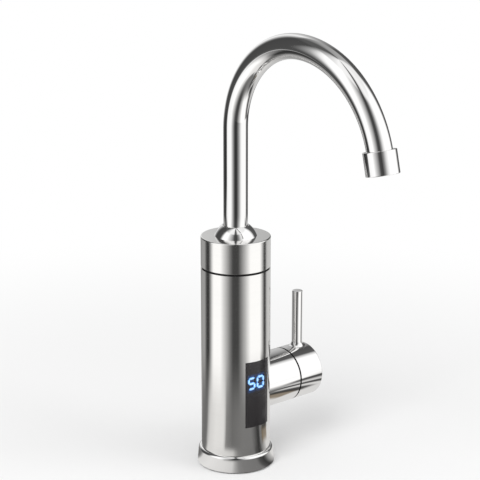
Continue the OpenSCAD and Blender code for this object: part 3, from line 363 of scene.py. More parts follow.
def makeTubeTree():
    # an open tube along a path: rows run up the outside and back down the inside, then the seams close
    group, source, sink = startTree("openTube", [
        ("Outer Radius", "Float", 0.0104), ("Inner Radius", "Float", 0.0094), ("Rows", "Int", 200),
        ("Sides", "Int", 80),
    ])
    rows, sides = source["Rows"], source["Sides"]
    columns = mathNode(group, "ADD", sides, 1.0)
    allRows = mathNode(group, "MULTIPLY_ADD", rows, 2.0, 1.0)
    grid = firstOut(group, "GeometryNodeMeshGrid", {"Vertices X": allRows, "Vertices Y": columns})
    index = firstOut(group, "GeometryNodeInputIndex")
    row = mathNode(group, "FLOOR", mathNode(group, "DIVIDE", mathNode(group, "ADD", index, 0.5), columns))
    column = mathNode(group, "SUBTRACT", index, mathNode(group, "MULTIPLY", row, columns))
    last = mathNode(group, "SUBTRACT", rows, 1.0)
    going = mathNode(group, "DIVIDE", row, last)
    doubled = mathNode(group, "MULTIPLY_ADD", rows, 2.0, -1.0)
    coming = mathNode(group, "DIVIDE", mathNode(group, "SUBTRACT", doubled, row), last)
    along = mathNode(group, "MINIMUM", going, coming, clamp=True)
    back = mathNode(group, "GREATER_THAN", row, mathNode(group, "SUBTRACT", rows, 0.5))
    closing = mathNode(group, "GREATER_THAN", row, mathNode(group, "ADD", doubled, 0.5))
    inside = mathNode(group, "SUBTRACT", back, closing)
    width = mathNode(group, "SUBTRACT", source["Inner Radius"], source["Outer Radius"])
    radius = mathNode(group, "MULTIPLY_ADD", inside, width, source["Outer Radius"])
    turn = mathNode(group, "MULTIPLY", mathNode(group, "DIVIDE", column, sides), fullTurn)
    curve = firstOut(group, "GeometryNodeMeshToCurve", {0: source["Geometry"]})
    sample = addNode(group, "GeometryNodeSampleCurve", {"Curves": curve, "Factor": along},
                     mode="FACTOR", use_all_curves=True)
    middle, tangent, normal = (sample.outputs[key] for key in ("Position", "Tangent", "Normal"))
    side = vectorNode(group, "CROSS_PRODUCT", tangent, normal)
    first = vectorNode(group, "SCALE", normal, scale=mathNode(group, "COSINE", turn))
    second = vectorNode(group, "SCALE", side, scale=mathNode(group, "SINE", turn))
    arm = vectorNode(group, "SCALE", vectorNode(group, "ADD", first, second), scale=radius)
    place = vectorNode(group, "ADD", middle, arm)
    move = firstOut(group, "GeometryNodeSetPosition", {"Geometry": grid, "Position": place})
    merge = firstOut(group, "GeometryNodeMergeByDistance", {"Geometry": move, "Distance": 1e-6})
    return endTree(group, merge, source, sink)


def makeRodTree():
    # a solid round rod or wire along a path
    group, source, sink = startTree("roundRod", [("Radius", "Float", 0.003), ("Sides", "Int", 20)])
    curve = firstOut(group, "GeometryNodeMeshToCurve", {0: source["Geometry"]})
    circle = firstOut(group, "GeometryNodeCurvePrimitiveCircle",
                      {"Resolution": source["Sides"], "Radius": source["Radius"]})
    sweep = firstOut(group, "GeometryNodeCurveToMesh",
                     {"Curve": curve, "Profile Curve": circle, "Fill Caps": True})
    return endTree(group, sweep, source, sink)


def makeRoundTree():
    # copies of a piece set round an upright axis
    group, source, sink = startTree("copiesAround", [
        ("Count", "Int", 6), ("Circle Radius", "Float", 0.02), ("Start Angle", "Float", 0.0),
    ])
    circle = firstOut(group, "GeometryNodeMeshCircle",
                      {"Vertices": source["Count"], "Radius": source["Circle Radius"]}, fill_type="NONE")
    angle = firstOut(group, "ShaderNodeCombineXYZ", {"Z": source["Start Angle"]})
    turned = firstOut(group, "GeometryNodeTransform", {"Geometry": circle, "Rotation": angle})
    return endCopies(group, turned, source, sink)


tubeTree = makeTubeTree()
rodTree = makeRodTree()
roundTree = makeRoundTree()
print("geometry trees made: tube, rod, round")

# the high spout, swept along its centre line
spoutSet = {"pipeRadius": 10.4, "wall": 1.0, "footHeight": 184.2, "riserTop": 299.2, "firstBend": 77.3,
            "secondBend": 94.0, "sweep": 167.0, "riserSteps": 40, "firstSteps": 90, "secondSteps": 77,
            "rows": 220, "sides": 84}


def spoutLine():
    first, second, top, low = (spoutSet[key] for key in ("firstBend", "secondBend", "riserTop", "footHeight"))
    steps = spoutSet["riserSteps"]
    points = [(0, 0, low + (top - low) * k / steps) for k in range(steps)]
    steps = spoutSet["firstSteps"]
    for k in range(steps + 1):
        angle = math.radians(90 * k / steps)
        points.append((0, -first + first * math.cos(angle), top + first * math.sin(angle)))
    steps = spoutSet["secondSteps"]
    for k in range(1, steps + 1):
        angle = math.radians(90 + (spoutSet["sweep"] - 90) * k / steps)
        points.append((0, -first + second * math.cos(angle), top + first - second + second * math.sin(angle)))
    return points


def makeSpout():
    mesh = growMesh("spoutTube", pathMesh("spoutLine", spoutLine()), tubeTree, {
        "Outer Radius": spoutSet["pipeRadius"] * mm, "Rows": spoutSet["rows"], "Sides": spoutSet["sides"],
        "Inner Radius": (spoutSet["pipeRadius"] - spoutSet["wall"]) * mm,
        "Material": finishes["polished_steel"],
    })
    placePiece("spoutTube", mesh, "polished_steel", "spout", ["spout_pipe"])


makeSpout()
outlet = Vector(spoutLine()[-1]) * mm
outletPlace = Matrix.Translation(outlet) @ Matrix.Rotation(math.radians(spoutSet["sweep"]), 4, "X")
print("spout made")

# cap and domed collar
capSet = {"radius": 30.0, "bottom": 179.1, "top": 205.4, "edge": 0.8, "lowEdge": 0.25, "wall": 1.8,
          "roof": 3.0, "neckHole": 14.5, "innerEdge": 0.15, "sides": 192}
collarSet = {"foot": 18.2, "height": 9.3, "flatTop": 0.8, "pipeHole": 10.7, "neck": 14.4, "neckDepth": 3.5,
             "edge": 0.2, "steps": 28, "sides": 192}


def makeCap():
    radius, low, top, fine = (capSet[key] for key in ("radius", "bottom", "top", "innerEdge"))
    inside, ceiling, hole = radius - capSet["wall"], top - capSet["roof"], capSet["neckHole"]
    outline = roundCorners([
        (radius, low, capSet["lowEdge"]), (radius, top, capSet["edge"]), (hole, top, fine),
        (hole, ceiling, 0), (inside, ceiling, capSet["edge"]), (inside, low, fine),
    ], steps=6)
    placePiece("capShell", turnMesh("capShell", outline, capSet["sides"]), "satin_steel", "body", ["top_cap"])


def makeCollar():
    foot, height, hole, edge = (collarSet[key] for key in ("foot", "height", "pipeHole", "edge"))
    rim = hole + collarSet["flatTop"]
    base = capSet["top"]
    bottom = base - collarSet["neckDepth"]
    sink = (foot * foot - rim * rim - height * height) / (2 * height)
    ball = math.hypot(foot, sink)
    start, end = math.asin(sink / ball), math.asin((sink + height) / ball)
    corners = []
    for k in range(collarSet["steps"]):
        angle = start + (end - start) * k / collarSet["steps"]
        corners.append((ball * math.cos(angle), base - sink + ball * math.sin(angle), 0))
    corners += [(rim, base + height, edge), (hole, base + height, edge), (hole, bottom, 0),
                (collarSet["neck"], bottom, 0), (collarSet["neck"], base, 0)]
    mesh = turnMesh("collarDome", roundCorners(corners, steps=4), collarSet["sides"])
    placePiece("collarDome", mesh, "polished_steel", "body", ["spout_collar"])


makeCap()
makeCollar()
print("cap and collar made")

# aerator: housing, and the honeycomb that straightens the water
aeratorSet = {"radius": 13.5, "length": 19.0, "overlap": 4.0, "wall": 1.6, "shoulder": 2.0, "pipeHole": 10.7,
              "bore": 9.4, "edge": 0.45, "lip": 0.3, "holeEdge": 0.2, "sides": 144}
combSet = {"radius": 11.8, "rim": 1.1, "top": 3.8, "length": 10.0, "pitch": 2.36, "cellWall": 0.16,
           "count": 13, "limit": 9.9, "inset": 0.3, "edge": 0.2, "sides": 96}


def makeAeratorHousing():
    high = -aeratorSet["overlap"]
    low = high + aeratorSet["length"]
    radius, hole, bore, edge = (aeratorSet[key] for key in ("radius", "pipeHole", "bore", "edge"))
    cup, shoulder = radius - aeratorSet["wall"], aeratorSet["shoulder"]
    outline = roundCorners([
        (radius, high, edge), (radius, low, edge), (cup, low, aeratorSet["lip"]), (cup, shoulder, 0),
        (bore, shoulder, 0), (bore, 0, 0), (hole, 0, 0), (hole, high, aeratorSet["holeEdge"]),
    ])
    mesh = turnMesh("aeratorShell", outline, aeratorSet["sides"], outletPlace)
    placePiece("aeratorShell", mesh, "polished_steel", "spout", ["aerator_housing"])


def makeCombTree():
    # cells on a grid whose odd columns are shifted, kept only near its middle
    group, source, sink = startTree("combCells", [
        ("Pitch", "Float", 0.0024), ("Count", "Int", 11), ("Limit", "Float", 0.01),
    ])
    pitch, count = source["Pitch"], source["Count"]
    span = mathNode(group, "MULTIPLY", pitch, mathNode(group, "SUBTRACT", count, 1.0))
    depth = mathNode(group, "MULTIPLY", span, math.sqrt(3) / 2)
    grid = firstOut(group, "GeometryNodeMeshGrid",
                    {"Size X": span, "Size Y": depth, "Vertices X": count, "Vertices Y": count})
    index = firstOut(group, "GeometryNodeInputIndex")
    odd = mathNode(group, "MODULO", mathNode(group, "MODULO", index, count), 2.0)
    half = mathNode(group, "MULTIPLY", odd, mathNode(group, "MULTIPLY", pitch, 0.5))
    shift = firstOut(group, "ShaderNodeCombineXYZ", {"X": half})
    move = firstOut(group, "GeometryNodeSetPosition", {"Geometry": grid, "Offset": shift})
    length = vectorNode(group, "LENGTH", firstOut(group, "GeometryNodeInputPosition"))
    outside = mathNode(group, "GREATER_THAN", length, source["Limit"])
    kept = firstOut(group, "GeometryNodeDeleteGeometry", {"Geometry": move, "Selection": outside},
                    domain="POINT")
    return endCopies(group, kept, source, sink)


def makeComb():
    high, low = combSet["top"], combSet["top"] + combSet["length"]
    cellHigh, cellLow = high + combSet["inset"], low - combSet["inset"]
    turn = math.radians(30)
    outer = combSet["pitch"] / 2 / math.cos(turn)
    inner = (combSet["pitch"] / 2 - combSet["cellWall"]) / math.cos(turn)
    outline = [(inner, cellHigh), (outer, cellHigh), (outer, cellLow), (inner, cellLow)]
    cell = turnMesh("combCell", outline, 6, Matrix.Rotation(turn, 4, "Z"))
    cells = growMesh("combCells", cell, makeCombTree(), {
        "Pitch": combSet["pitch"] * mm, "Count": combSet["count"], "Limit": combSet["limit"] * mm,
        "Material": finishes["white_plastic"],
    })
    radius, edge = combSet["radius"], combSet["edge"]
    wall = radius - combSet["rim"]
    rim = roundCorners([(radius, high, edge), (radius, low, edge), (wall, low, edge), (wall, high, edge)])
    shape = bmesh.new()
    shape.from_mesh(cells)
    shape.from_mesh(turnMesh("combRim", rim, combSet["sides"]))
    mesh = meshFromShape("streamStraightener", shape, outletPlace)
    placePiece("streamStraightener", mesh, "white_plastic", "spout", ["aerator_insert"])


makeAeratorHousing()
makeComb()
print("aerator made")

# lever, with a flare that settles on the round handle
leverSet = {"x": 72.6, "axis": 66.7, "radius": 4.65, "tip": 74.7, "foot": 6.05, "tipEdge": 0.6,
            "handle": 23.8, "seatGap": 0.05, "flare": 3.6, "skin": 0.06, "lip": 0.02, "sides": 80,
            "underSteps": 4, "flareSteps": 16, "barSteps": 8, "tipSteps": 6}


def makeLever():
    handle, radius, flare, skin = (leverSet[key] for key in ("handle", "radius", "flare", "skin"))
    tip, edge = leverSet["tip"], leverSet["tipEdge"]
    spread = radius + skin + flare
    crown = handle + flare
    seat = handle + leverSet["seatGap"]

    def under(r, turn):
        # the underside follows the round handle
        return math.sqrt(seat * seat - (r * math.sin(turn)) ** 2)

    def flarePoint(turn, bend):
        low = under(spread, turn) + leverSet["lip"]
        return spread - (flare + skin) * math.sin(bend), low + (crown - low) * (1 - math.cos(bend))

    steps, quarter = leverSet["underSteps"], math.pi / 2
    rows = [(radius, leverSet["foot"])]
    for k in range(steps + 1):
        rows.append(lambda turn, r=radius + (spread - radius) * k / steps: (r, under(r, turn)))
    steps = leverSet["flareSteps"]
    for k in range(steps + 1):
        rows.append(lambda turn, bend=quarter * k / steps: flarePoint(turn, bend))
    steps = leverSet["barSteps"]
    rows += [(radius, crown + (tip - edge - crown) * k / steps) for k in range(1, steps + 1)]
    steps = leverSet["tipSteps"]
    for k in range(1, steps + 1):
        bend = quarter * k / steps
        rows.append((radius - edge + edge * math.cos(bend), tip - edge + edge * math.sin(bend)))
    place = Matrix.Translation((leverSet["x"] * mm, 0, leverSet["axis"] * mm))
    mesh = turnMesh("leverBar", rows, leverSet["sides"], place, "capped")
    placePiece("leverBar", mesh, "polished_steel", "handle", ["lever_rod"])


makeLever()
print("lever made")

# threaded shank and its lock nut, below the worktop
shankSet = {"y": -5.0, "radius": 10.4775, "bottom": -62.0, "top": 9.0, "pitch": 1.814, "depth": 0.7,
            "root": 0.12, "flanks": 0.7, "threads": [(-61.6, -48.2), (-46.2, -0.6)],
            "relief": (-48.0, -46.5, 0.9), "endChamfer": 0.9, "plainRows": (-0.3, 4.0), "headRadius": 12.9775,
            "headHeight": 4.0, "headFlat": 10.5775, "headEdge": 0.4, "bore": 5.5, "seatRadius": 6.6,
            "seatDepth": 2.0, "sides": 72, "rowsPerPitch": 8}
nutSet = {"low": -43.0, "height": 8.0, "apothem": 15.0, "faceRadius": 14.6, "chamfer": 1.1, "slope": 1.6,
          "slopeShare": 0.55, "gap": 0.05}


def threadRadius(turn, height):
    radius, depth, pitch = shankSet["radius"], shankSet["depth"], shankSet["pitch"]
    for low, high in shankSet["threads"]:
        if low <= height <= high:
            phase = (height / pitch - turn / fullTurn) % 1.0
            ridge = min(1.0, max(0.0, (1 - abs(2 * phase - 1) - shankSet["root"]) / shankSet["flanks"]))
            fade = min(1.0, (height - low) / pitch, (high - height) / pitch)
            return radius - depth + depth * ridge * fade
    low, high, groove = shankSet["relief"]
    return radius - groove if low <= height <= high else radius


def headRadius(turn):
    # the head is round, with one flat side
    slope = math.sin(turn)
    cut = shankSet["headFlat"] / slope if slope > 0.1 else math.inf
    return min(shankSet["headRadius"], cut)


def makeShank():
    low, top, step = shankSet["bottom"], shankSet["top"], shankSet["pitch"] / shankSet["rowsPerPitch"]
    radius, bore, seat, edge = (shankSet[key] for key in ("radius", "bore", "seatRadius", "headEdge"))
    headTop, seatHeight = top + shankSet["headHeight"], top - shankSet["seatDepth"]
    rows = [(radius - shankSet["endChamfer"], low)]
    for k in range(1, int(-low / step)):
        rows.append(lambda turn, z=low + k * step: (threadRadius(turn, z), z))
    rows += [(radius, z) for z in (*shankSet["plainRows"], top)]
    rows += [lambda turn: (headRadius(turn), top), lambda turn: (headRadius(turn), headTop - edge),
             lambda turn: (headRadius(turn) - edge, headTop)]
    rows += [(seat, headTop), (seat, seatHeight), (bore, seatHeight), (bore, low)]
    place = Matrix.Translation((0, shankSet["y"] * mm, 0))
    mesh = turnMesh("threadedShank", rows, shankSet["sides"], place)
    placePiece("threadedShank", mesh, "brass", "body", ["inlet_shank"], sharpAngle=40.0)


def makeNut():
    low, height, chamfer, face = (nutSet[key] for key in ("low", "height", "chamfer", "faceRadius"))

    def hexPoint(turn, limit, z):
        side = math.radians(math.degrees(turn) % 60 - 30)
        return min(nutSet["apothem"] / math.cos(side), limit), z

    rows = []
    slopes = ((face, 0), (face + nutSet["slope"], chamfer * nutSet["slopeShare"]), (math.inf, chamfer))
    for limit, rise in slopes:
        rows.append(lambda turn, limit=limit, rise=rise: hexPoint(turn, limit, low + rise))
    for limit, rise in reversed(slopes):
        rows.append(lambda turn, limit=limit, rise=rise: hexPoint(turn, limit, low + height - rise))
    count = int(height / (shankSet["pitch"] / shankSet["rowsPerPitch"]))
    for k in range(count, -1, -1):
        rows.append(lambda turn, z=low + height * k / count: (threadRadius(turn, z) + nutSet["gap"], z))
    place = Matrix.Translation((0, shankSet["y"] * mm, 0))
    mesh = turnMesh("hexNut", rows, shankSet["sides"], place)
    placePiece("hexNut", mesh, "brass", "body", ["lock_nut"], sharpAngle=25.0)


makeShank()
makeNut()
print("shank and nut made")

# heating element and flow spring, as round rods along their paths
elementSet = {"radius": 3.0, "coilRadius": 15.0, "returnRadius": 5.0, "bend": 5.0, "low": 101.0,
              "coilLow": 120.0, "rise": 40.0, "turns": 5.25, "stepsPerTurn": 48, "runOut": 0.5,
              "legShift": -0.003, "legSteps": 6, "bendSteps": 10, "returnSteps": 12, "sides": 24}
springSet = {"x": -15.743, "y": 6.928, "radius": 3.6, "wire": 0.6, "low": 77.0, "high": 91.0, "curls": 6,
             "stepsPerCurl": 30, "endGap": 0.1, "keep": 0.714, "sides": 12}


def elementLine():
    coil, back, bend, shift = (elementSet[key] for key in ("coilRadius", "returnRadius", "bend", "legShift"))
    low, start, rise, turns = (elementSet[key] for key in ("low", "coilLow", "rise", "turns"))
    high, steps = start + rise, elementSet["bendSteps"]
    quarters = [math.pi / 2 * k / steps for k in range(steps)]
    steps = elementSet["legSteps"]
    points = [(coil, -bend, low + (start - bend - low) * k / steps) for k in range(steps)]
    points += [(coil, -bend * math.cos(angle), start - bend + bend * math.sin(angle)) for angle in quarters]
    count = int(turns * elementSet["stepsPerTurn"])
    for k in range(count + 1):
        turn = turns * k / count
        share = max(0.0, (turn - turns + elementSet["runOut"]) / elementSet["runOut"])
        blend = 3 * share ** 2 - 2 * share ** 3
        radius, angle = coil + (back - coil) * blend, fullTurn * turn
        points.append((radius * math.cos(angle) + shift * blend, radius * math.sin(angle),
                       start + rise * turn / turns))
    for angle in quarters[1:]:
        points.append((shift - bend * math.sin(angle), back, high - bend * (1 - math.cos(angle))))
    steps = elementSet["returnSteps"]
    points += [(shift - bend, back, high - bend - (high - bend - low) * k / steps) for k in range(steps + 1)]
    return points


def springLine():
    radius, steps = springSet["radius"], springSet["stepsPerCurl"]
    inset = springSet["wire"] / 2 + springSet["endGap"]
    low, high = springSet["low"] + inset, springSet["high"] - inset
    count = springSet["curls"] * steps
    return [(springSet["x"] + radius * math.cos(fullTurn * k / steps),
             springSet["y"] + radius * math.sin(fullTurn * k / steps),
             low + (high - low) * k / count) for k in range(count + 1)]


def makeRods():
    values = {"Radius": elementSet["radius"] * mm, "Sides": elementSet["sides"],
              "Material": finishes["element_steel"]}
    mesh = growMesh("heaterCoil", pathMesh("elementLine", elementLine()), rodTree, values)
    placePiece("heaterCoil", mesh, "element_steel", "body", ["heating_element"])
    values = {"Radius": springSet["wire"] / 2 * mm, "Sides": springSet["sides"],
              "Material": finishes["plain_steel"]}
    mesh = growMesh("returnSpring", pathMesh("springLine", springLine()), rodTree, values)
    spring = placePiece("returnSpring", mesh, "plain_steel", "body", ["flow_spring"])
    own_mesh(spring)


makeRods()
print("heating element and spring made")

# screws with hexagon sockets, their heads facing down
screwSets = {
    "footScrews": {"node": "base_screws", "count": 3, "circle": 25.7, "start": 30.0, "head": (2.0, 4.0, 2.5),
                   "shank": (7.8, 1.5), "socket": (1.25, 1.1)},
    "flangeScrews": {"node": "tank_screws", "count": 6, "circle": 26.25, "start": 15.0,
                     "head": (103.6, 105.0, 1.7), "shank": (114.0, 1.1), "socket": (0.85, 0.8)},
}
threadSet = {"pitch": 0.5, "depth": 0.22, "margin": 0.3, "groove": 0.45, "crest": 0.9, "sides": 28,
             "headEdge": [(0.35, 0.0), (0.1, 0.12), (0.0, 0.4)]}


def carve(name, base, cutter):
    block, tool = addObject(name + "Base", base), addObject(name + "Tool", cutter)
    modifier = block.modifiers.new("socket", "BOOLEAN")
    modifier.operation = "DIFFERENCE"
    modifier.solver = "EXACT"
    modifier.object = tool
    mesh = bpy.data.meshes.new_from_object(block.evaluated_get(bpy.context.evaluated_depsgraph_get()))
    block.modifiers.remove(modifier)
    for item in (block, tool):
        bpy.data.objects.remove(item)
    return mesh


def screwMesh(name, one):
    low, high, head = one["head"]
    end, shank = one["shank"]
    size, depth = one["socket"]
    pitch, margin = threadSet["pitch"], threadSet["margin"]
    outline = [(0, low), *((head - inset, low + rise) for inset, rise in threadSet["headEdge"]), (head, high),
               (shank, high)]
    for k in range(int((end - high - 2 * margin) / pitch)):
        base = high + margin + k * pitch
        outline += [(shank, base), (shank - threadSet["depth"], base + pitch * threadSet["groove"]),
                    (shank, base + pitch * threadSet["crest"])]
    outline += [(shank, end - margin), (shank - margin, end), (0, end)]
    socket = [(0, low - 1), (size, low - 1), (size, low + depth), (0, low + depth + margin)]
    return carve(name, turnMesh(name, outline, threadSet["sides"], ends="open"),
                 turnMesh(name + "Socket", socket, 6, ends="open"))


def makeScrews():
    for name, one in screwSets.items():
        mesh = growMesh(name, screwMesh(name, one), roundTree, {
            "Count": one["count"], "Circle Radius": one["circle"] * mm,
            "Start Angle": math.radians(one["start"]), "Material": finishes["plain_steel"],
        })
        placePiece(name, mesh, "plain_steel", "body", [one["node"]])


makeScrews()
print("screws made")

# the read-out: fourteen bars, of which the ones that write 50 are lit
digitSet = {"width": 8.2, "height": 11.4, "bar": 1.9, "gap": 0.3, "between": 1.4, "y": -26.007, "thick": 0.4,
            "z": 79.3, "lit": {-1: "acdfg", 1: "abcdef"}, "core": 0.5, "strength": 16.0,
            "edgeColor": (0.09, 0.4, 1.0, 1.0), "coreColor": (0.42, 0.73, 1.0, 1.0),
            "grainScale": 500.0, "grainShare": 0.2}
haloSet = {"color": (0.004, 0.1, 0.36, 1.0), "strength": 3.6, "beside": (3.0, 5.2), "above": (6.4, 9.0)}


def barSpots(side):
    width, bar, gap = digitSet["width"], digitSet["bar"], digitSet["gap"]
    across, edge = width - bar - gap, (width - bar) / 2
    half = (digitSet["height"] - bar) / 2
    middle = side * (width + digitSet["between"]) / 2
    spots = {name: (middle, z, across, False) for name, z in (("a", half), ("g", 0), ("d", -half))}
    for name, x, z in (("b", edge, half), ("c", edge, -half), ("f", -edge, half), ("e", -edge, -half)):
        spots[name] = (middle + x, z / 2, half - gap, True)
    return spots


def addBar(shape, glow, spot):
    x, z, length, standing = spot
    h, long = digitSet["bar"] / 2, length / 2
    ends = [(-long, 0), (-long + h, -h), (long - h, -h), (long, 0), (long - h, h), (-long + h, h)]
    back, core = digitSet["y"], digitSet["core"]
    front = back - digitSet["thick"]
    rings = []
    for depth, inset, level in ((back, 0.0, 0.0), (front, 0.0, 0.0), (front, core, 1.0)):
        ring = []
        for u, v in ends:
            u, v = u - math.copysign(min(abs(u), h * inset), u), v * (1 - inset)
            if standing:
                u, v = -v, u
            vert = shape.verts.new(Vector((x + u, depth, digitSet["z"] + z + v)) * mm)
            vert[glow] = level
            ring.append(vert)
        rings.append(ring)
    joinRings(shape, rings)
    shape.faces.new(rings[0])
    shape.faces.new(rings[-1])


def litMaterial():
    material = moulded("litBar", (0.3, 0.55, 0.8), 0.4)
    tree = material.node_tree
    glow = addNode(tree, "ShaderNodeAttribute", attribute_name="glow").outputs["Fac"]
    grain = noiseNode(tree, objectPlace(tree), digitSet["grainScale"], detail=2.0)
    grainShare = digitSet["grainShare"]
    base = mathNode(tree, "SUBTRACT", glow, grainShare / 2)
    share = mathNode(tree, "MULTIPLY_ADD", grain, grainShare, base, clamp=True)
    fillInputs(tree, tree.nodes["Principled BSDF"], {
        "Emission Color": mixColors(tree, share, digitSet["edgeColor"], digitSet["coreColor"]),
        "Emission Strength": digitSet["strength"],
    })
    return material


def moduleMaterial():
    # painted glow: the module's face gets its own emission close round the bars, standing in for their light
    # falling on it
    material = moulded("litModule", (0.012, 0.012, 0.013), 0.5)
    tree = material.node_tree
    split = addNode(tree, "ShaderNodeSeparateXYZ", {0: objectPlace(tree)})
    middle = (digitSet["width"] + digitSet["between"]) / 2
    sideways = mathNode(tree, "SUBTRACT", mathNode(tree, "ABSOLUTE", split.outputs["X"]), middle * mm)
    upwards = mathNode(tree, "SUBTRACT", split.outputs["Z"], digitSet["z"] * mm)
    beside, above = (remapNode(tree, mathNode(tree, "ABSOLUTE", way), start * mm, end * mm, 1.0, 0.0)
                     for way, (start, end) in ((sideways, haloSet["beside"]), (upwards, haloSet["above"])))
    share = mathNode(tree, "MULTIPLY", beside, above)
    fillInputs(tree, tree.nodes["Principled BSDF"], {
        "Emission Color": mixColors(tree, share, (0.0, 0.0, 0.0, 1.0), haloSet["color"]),
        "Emission Strength": haloSet["strength"],
    })
    return material


def makeReadOut():
    lit, dark = bmesh.new(), bmesh.new()
    litGlow, darkGlow = lit.verts.layers.float.new("glow"), dark.verts.layers.float.new("glow")
    for side, names in digitSet["lit"].items():
        for name, spot in barSpots(side).items():
            if name in names:
                addBar(lit, litGlow, spot)
            else:
                addBar(dark, darkGlow, spot)
    placePiece("litBars", meshFromShape("litBars", lit), "digit_plastic", "body", ["digit_segments"],
               material=litMaterial())
    placePiece("darkBars", meshFromShape("darkBars", dark), "digit_plastic", "body", ["digit_segments"])
    module = frame["nodes"]["display_module"]
    module.data.materials.clear()
    module.data.materials.append(moduleMaterial())


makeReadOut()
print("read-out made")

# stage
cameraSet = {"place": (-0.918, -1.057, 0.592), "azimuth": -41.0, "pitch": 15.6, "yaw": -0.125, "lens": 127.7,
             "sensor": 36.0, "clip": (0.05, 60.0)}
stageSet = {"floorHalf": 9.0, "floorZ": -0.0004, "floorColor": (0.86, 0.86, 0.86, 1.0),
            "floorWhite": (0.16, 0.75), "worldColor": (0.7, 0.7, 0.7, 1.0), "white": (1.0, 1.0, 1.0, 1.0)}
lampSets = {"keyLamp": {"place": (-1.5, -0.6, 1.9), "size": 1.2, "power": 26},
            "fillLamp": {"place": (0.9, -1.6, 1.4), "size": 1.4, "power": 12}}
lampTarget = Vector((0, 0, 0.15))


def seenRays(tree):
    # camera, glossy and transmission rays see white; the light on the object isn't changed by it
    path = addNode(tree, "ShaderNodeLightPath").outputs
    seen = mathNode(tree, "MAXIMUM", path["Is Camera Ray"], path["Is Glossy Ray"])
    return mathNode(tree, "MAXIMUM", seen, path["Is Transmission Ray"])


def endShader(tree, kind, share, first, second):
    mix = addNode(tree, "ShaderNodeMixShader", {0: share, 1: first.outputs[0], 2: second.outputs[0]})
    addNode(tree, kind, {"Surface": mix.outputs[0]})


def makeFloor():
    mesh = bpy.data.meshes.new("floor")
    shape = bmesh.new()
    bmesh.ops.create_grid(shape, x_segments=24, y_segments=24, size=stageSet["floorHalf"])
    bmesh.ops.translate(shape, verts=shape.verts, vec=(0, 0, stageSet["floorZ"]))
    shape.to_mesh(mesh)
    shape.free()
    material = bpy.data.materials.new("paleFloor")
    tree = emptyTree(material)
    diffuse = addNode(tree, "ShaderNodeBsdfDiffuse", {"Color": stageSet["floorColor"]})
    white = addNode(tree, "ShaderNodeEmission", {"Color": stageSet["white"]})
    far = remapNode(tree, vectorNode(tree, "LENGTH", objectPlace(tree)), *stageSet["floorWhite"])
    share = mathNode(tree, "MULTIPLY", far, seenRays(tree))
    endShader(tree, "ShaderNodeOutputMaterial", share, diffuse, white)
    mesh.materials.append(material)
    addObject("floor", mesh)


# painted reflections: what the steel mirrors, as (degrees to the right of the camera, brightness), for each
# zone of the tent
farBands = [(-180, 0.4), (-152, 0.3), (-138, 0.36), (-122, 0.36), (-109, 0.06), (-98, 0.03), (-90, 0.28),
            (-82, 0.78), (-76, 1.1), (-50, 1.1), (-40, 0.75), (-29, 0.47), (-18, 0.2), (-9, 0.06), (8, 0.06),
            (18, 0.24), (30, 0.52), (41, 0.85), (48, 1.1), (86, 1.1), (92, 0.75), (100, 0.28), (106, 0.05),
            (112, 0.05), (119, 0.45), (128, 0.6), (150, 0.62), (180, 0.5)]
pipeBands = [(-180, 0.3), (-145, 0.15), (-125, 0.03), (-104, 0.04), (-93, 0.8), (-84, 1.0), (-48, 1.05),
             (-40, 0.9), (-34, 0.62), (-24, 0.36), (-14, 0.12), (-5, 0.04), (5, 0.03), (14, 0.07), (24, 0.23),
             (34, 0.38), (43, 0.7), (54, 0.98), (60, 1.05), (104, 1.05), (114, 0.35), (122, 0.08),
             (150, 0.08), (180, 0.5)]
nearBands = [(-180, 0.55), (-152, 0.45), (-138, 0.2), (-112, 0.16), (-102, 0.18), (-94, 0.52), (-86, 0.7),
             (-62, 0.82), (-38, 0.8), (-33, 0.66), (-29, 0.24), (-10, 0.16), (20, 0.2), (46, 0.2), (58, 0.12),
             (68, 0.04), (74, 0.05), (78, 0.22), (82, 0.2), (86, 0.14), (91, 0.6), (98, 0.72), (160, 0.7),
             (180, 0.6)]
footBands = [(-180, 0.4), (-160, 0.2), (-104, 0.16), (-97, 0.25), (-88, 0.72), (-60, 0.8), (-24, 0.72),
             (-8, 0.64), (-1, 0.38), (6, 0.24), (16, 0.2), (50, 0.18), (58, 0.08), (70, 0.04), (76, 0.1),
             (83, 0.28), (92, 0.45), (102, 0.72), (180, 0.6)]
highBands = [(-180, 0.55), (-173, 0.75), (-165, 1.0), (-152, 0.6), (-136, 0.12), (-127, 0.06), (-93, 0.07),
             (-86, 0.35), (-79, 0.9), (-74, 1.1), (-50, 1.1), (-36, 0.7), (-20, 0.35), (-8, 0.07), (6, 0.05),
             (18, 0.25), (34, 0.8), (48, 1.1), (106, 1.1), (116, 0.6), (123, 0.1), (156, 0.08), (170, 0.35),
             (180, 0.55)]
roofBands = [(-180, 0.35), (-150, 0.2), (-136, 0.1), (-95, 0.1), (-70, 0.7), (-50, 1.0), (-16, 0.9),
             (-6, 0.1), (6, 0.08), (16, 0.8), (40, 1.0), (85, 0.9), (118, 0.9), (130, 0.45), (165, 0.35),
             (180, 0.35)]
tentSet = {"inner": 0.0335, "outer": 1.5, "bend": 0.4, "low": 0.0006, "sides": 96, "steps": 8,
           "roofRows": [(1.5, 1.7), (0.9, 2.2), (0.02, 2.3)],
           "footRadii": (0.07, 0.086), "nearRadii": (0.14, 0.34), "pipeRadii": (0.8, 0.86),
           "high": (0.02, 0.12), "roof": (1.78, 1.98)}
plainTint, warmTint, paleTint = (1.0, 1.0, 1.0), (1.0, 0.99, 0.975), (1.0, 0.995, 0.985)
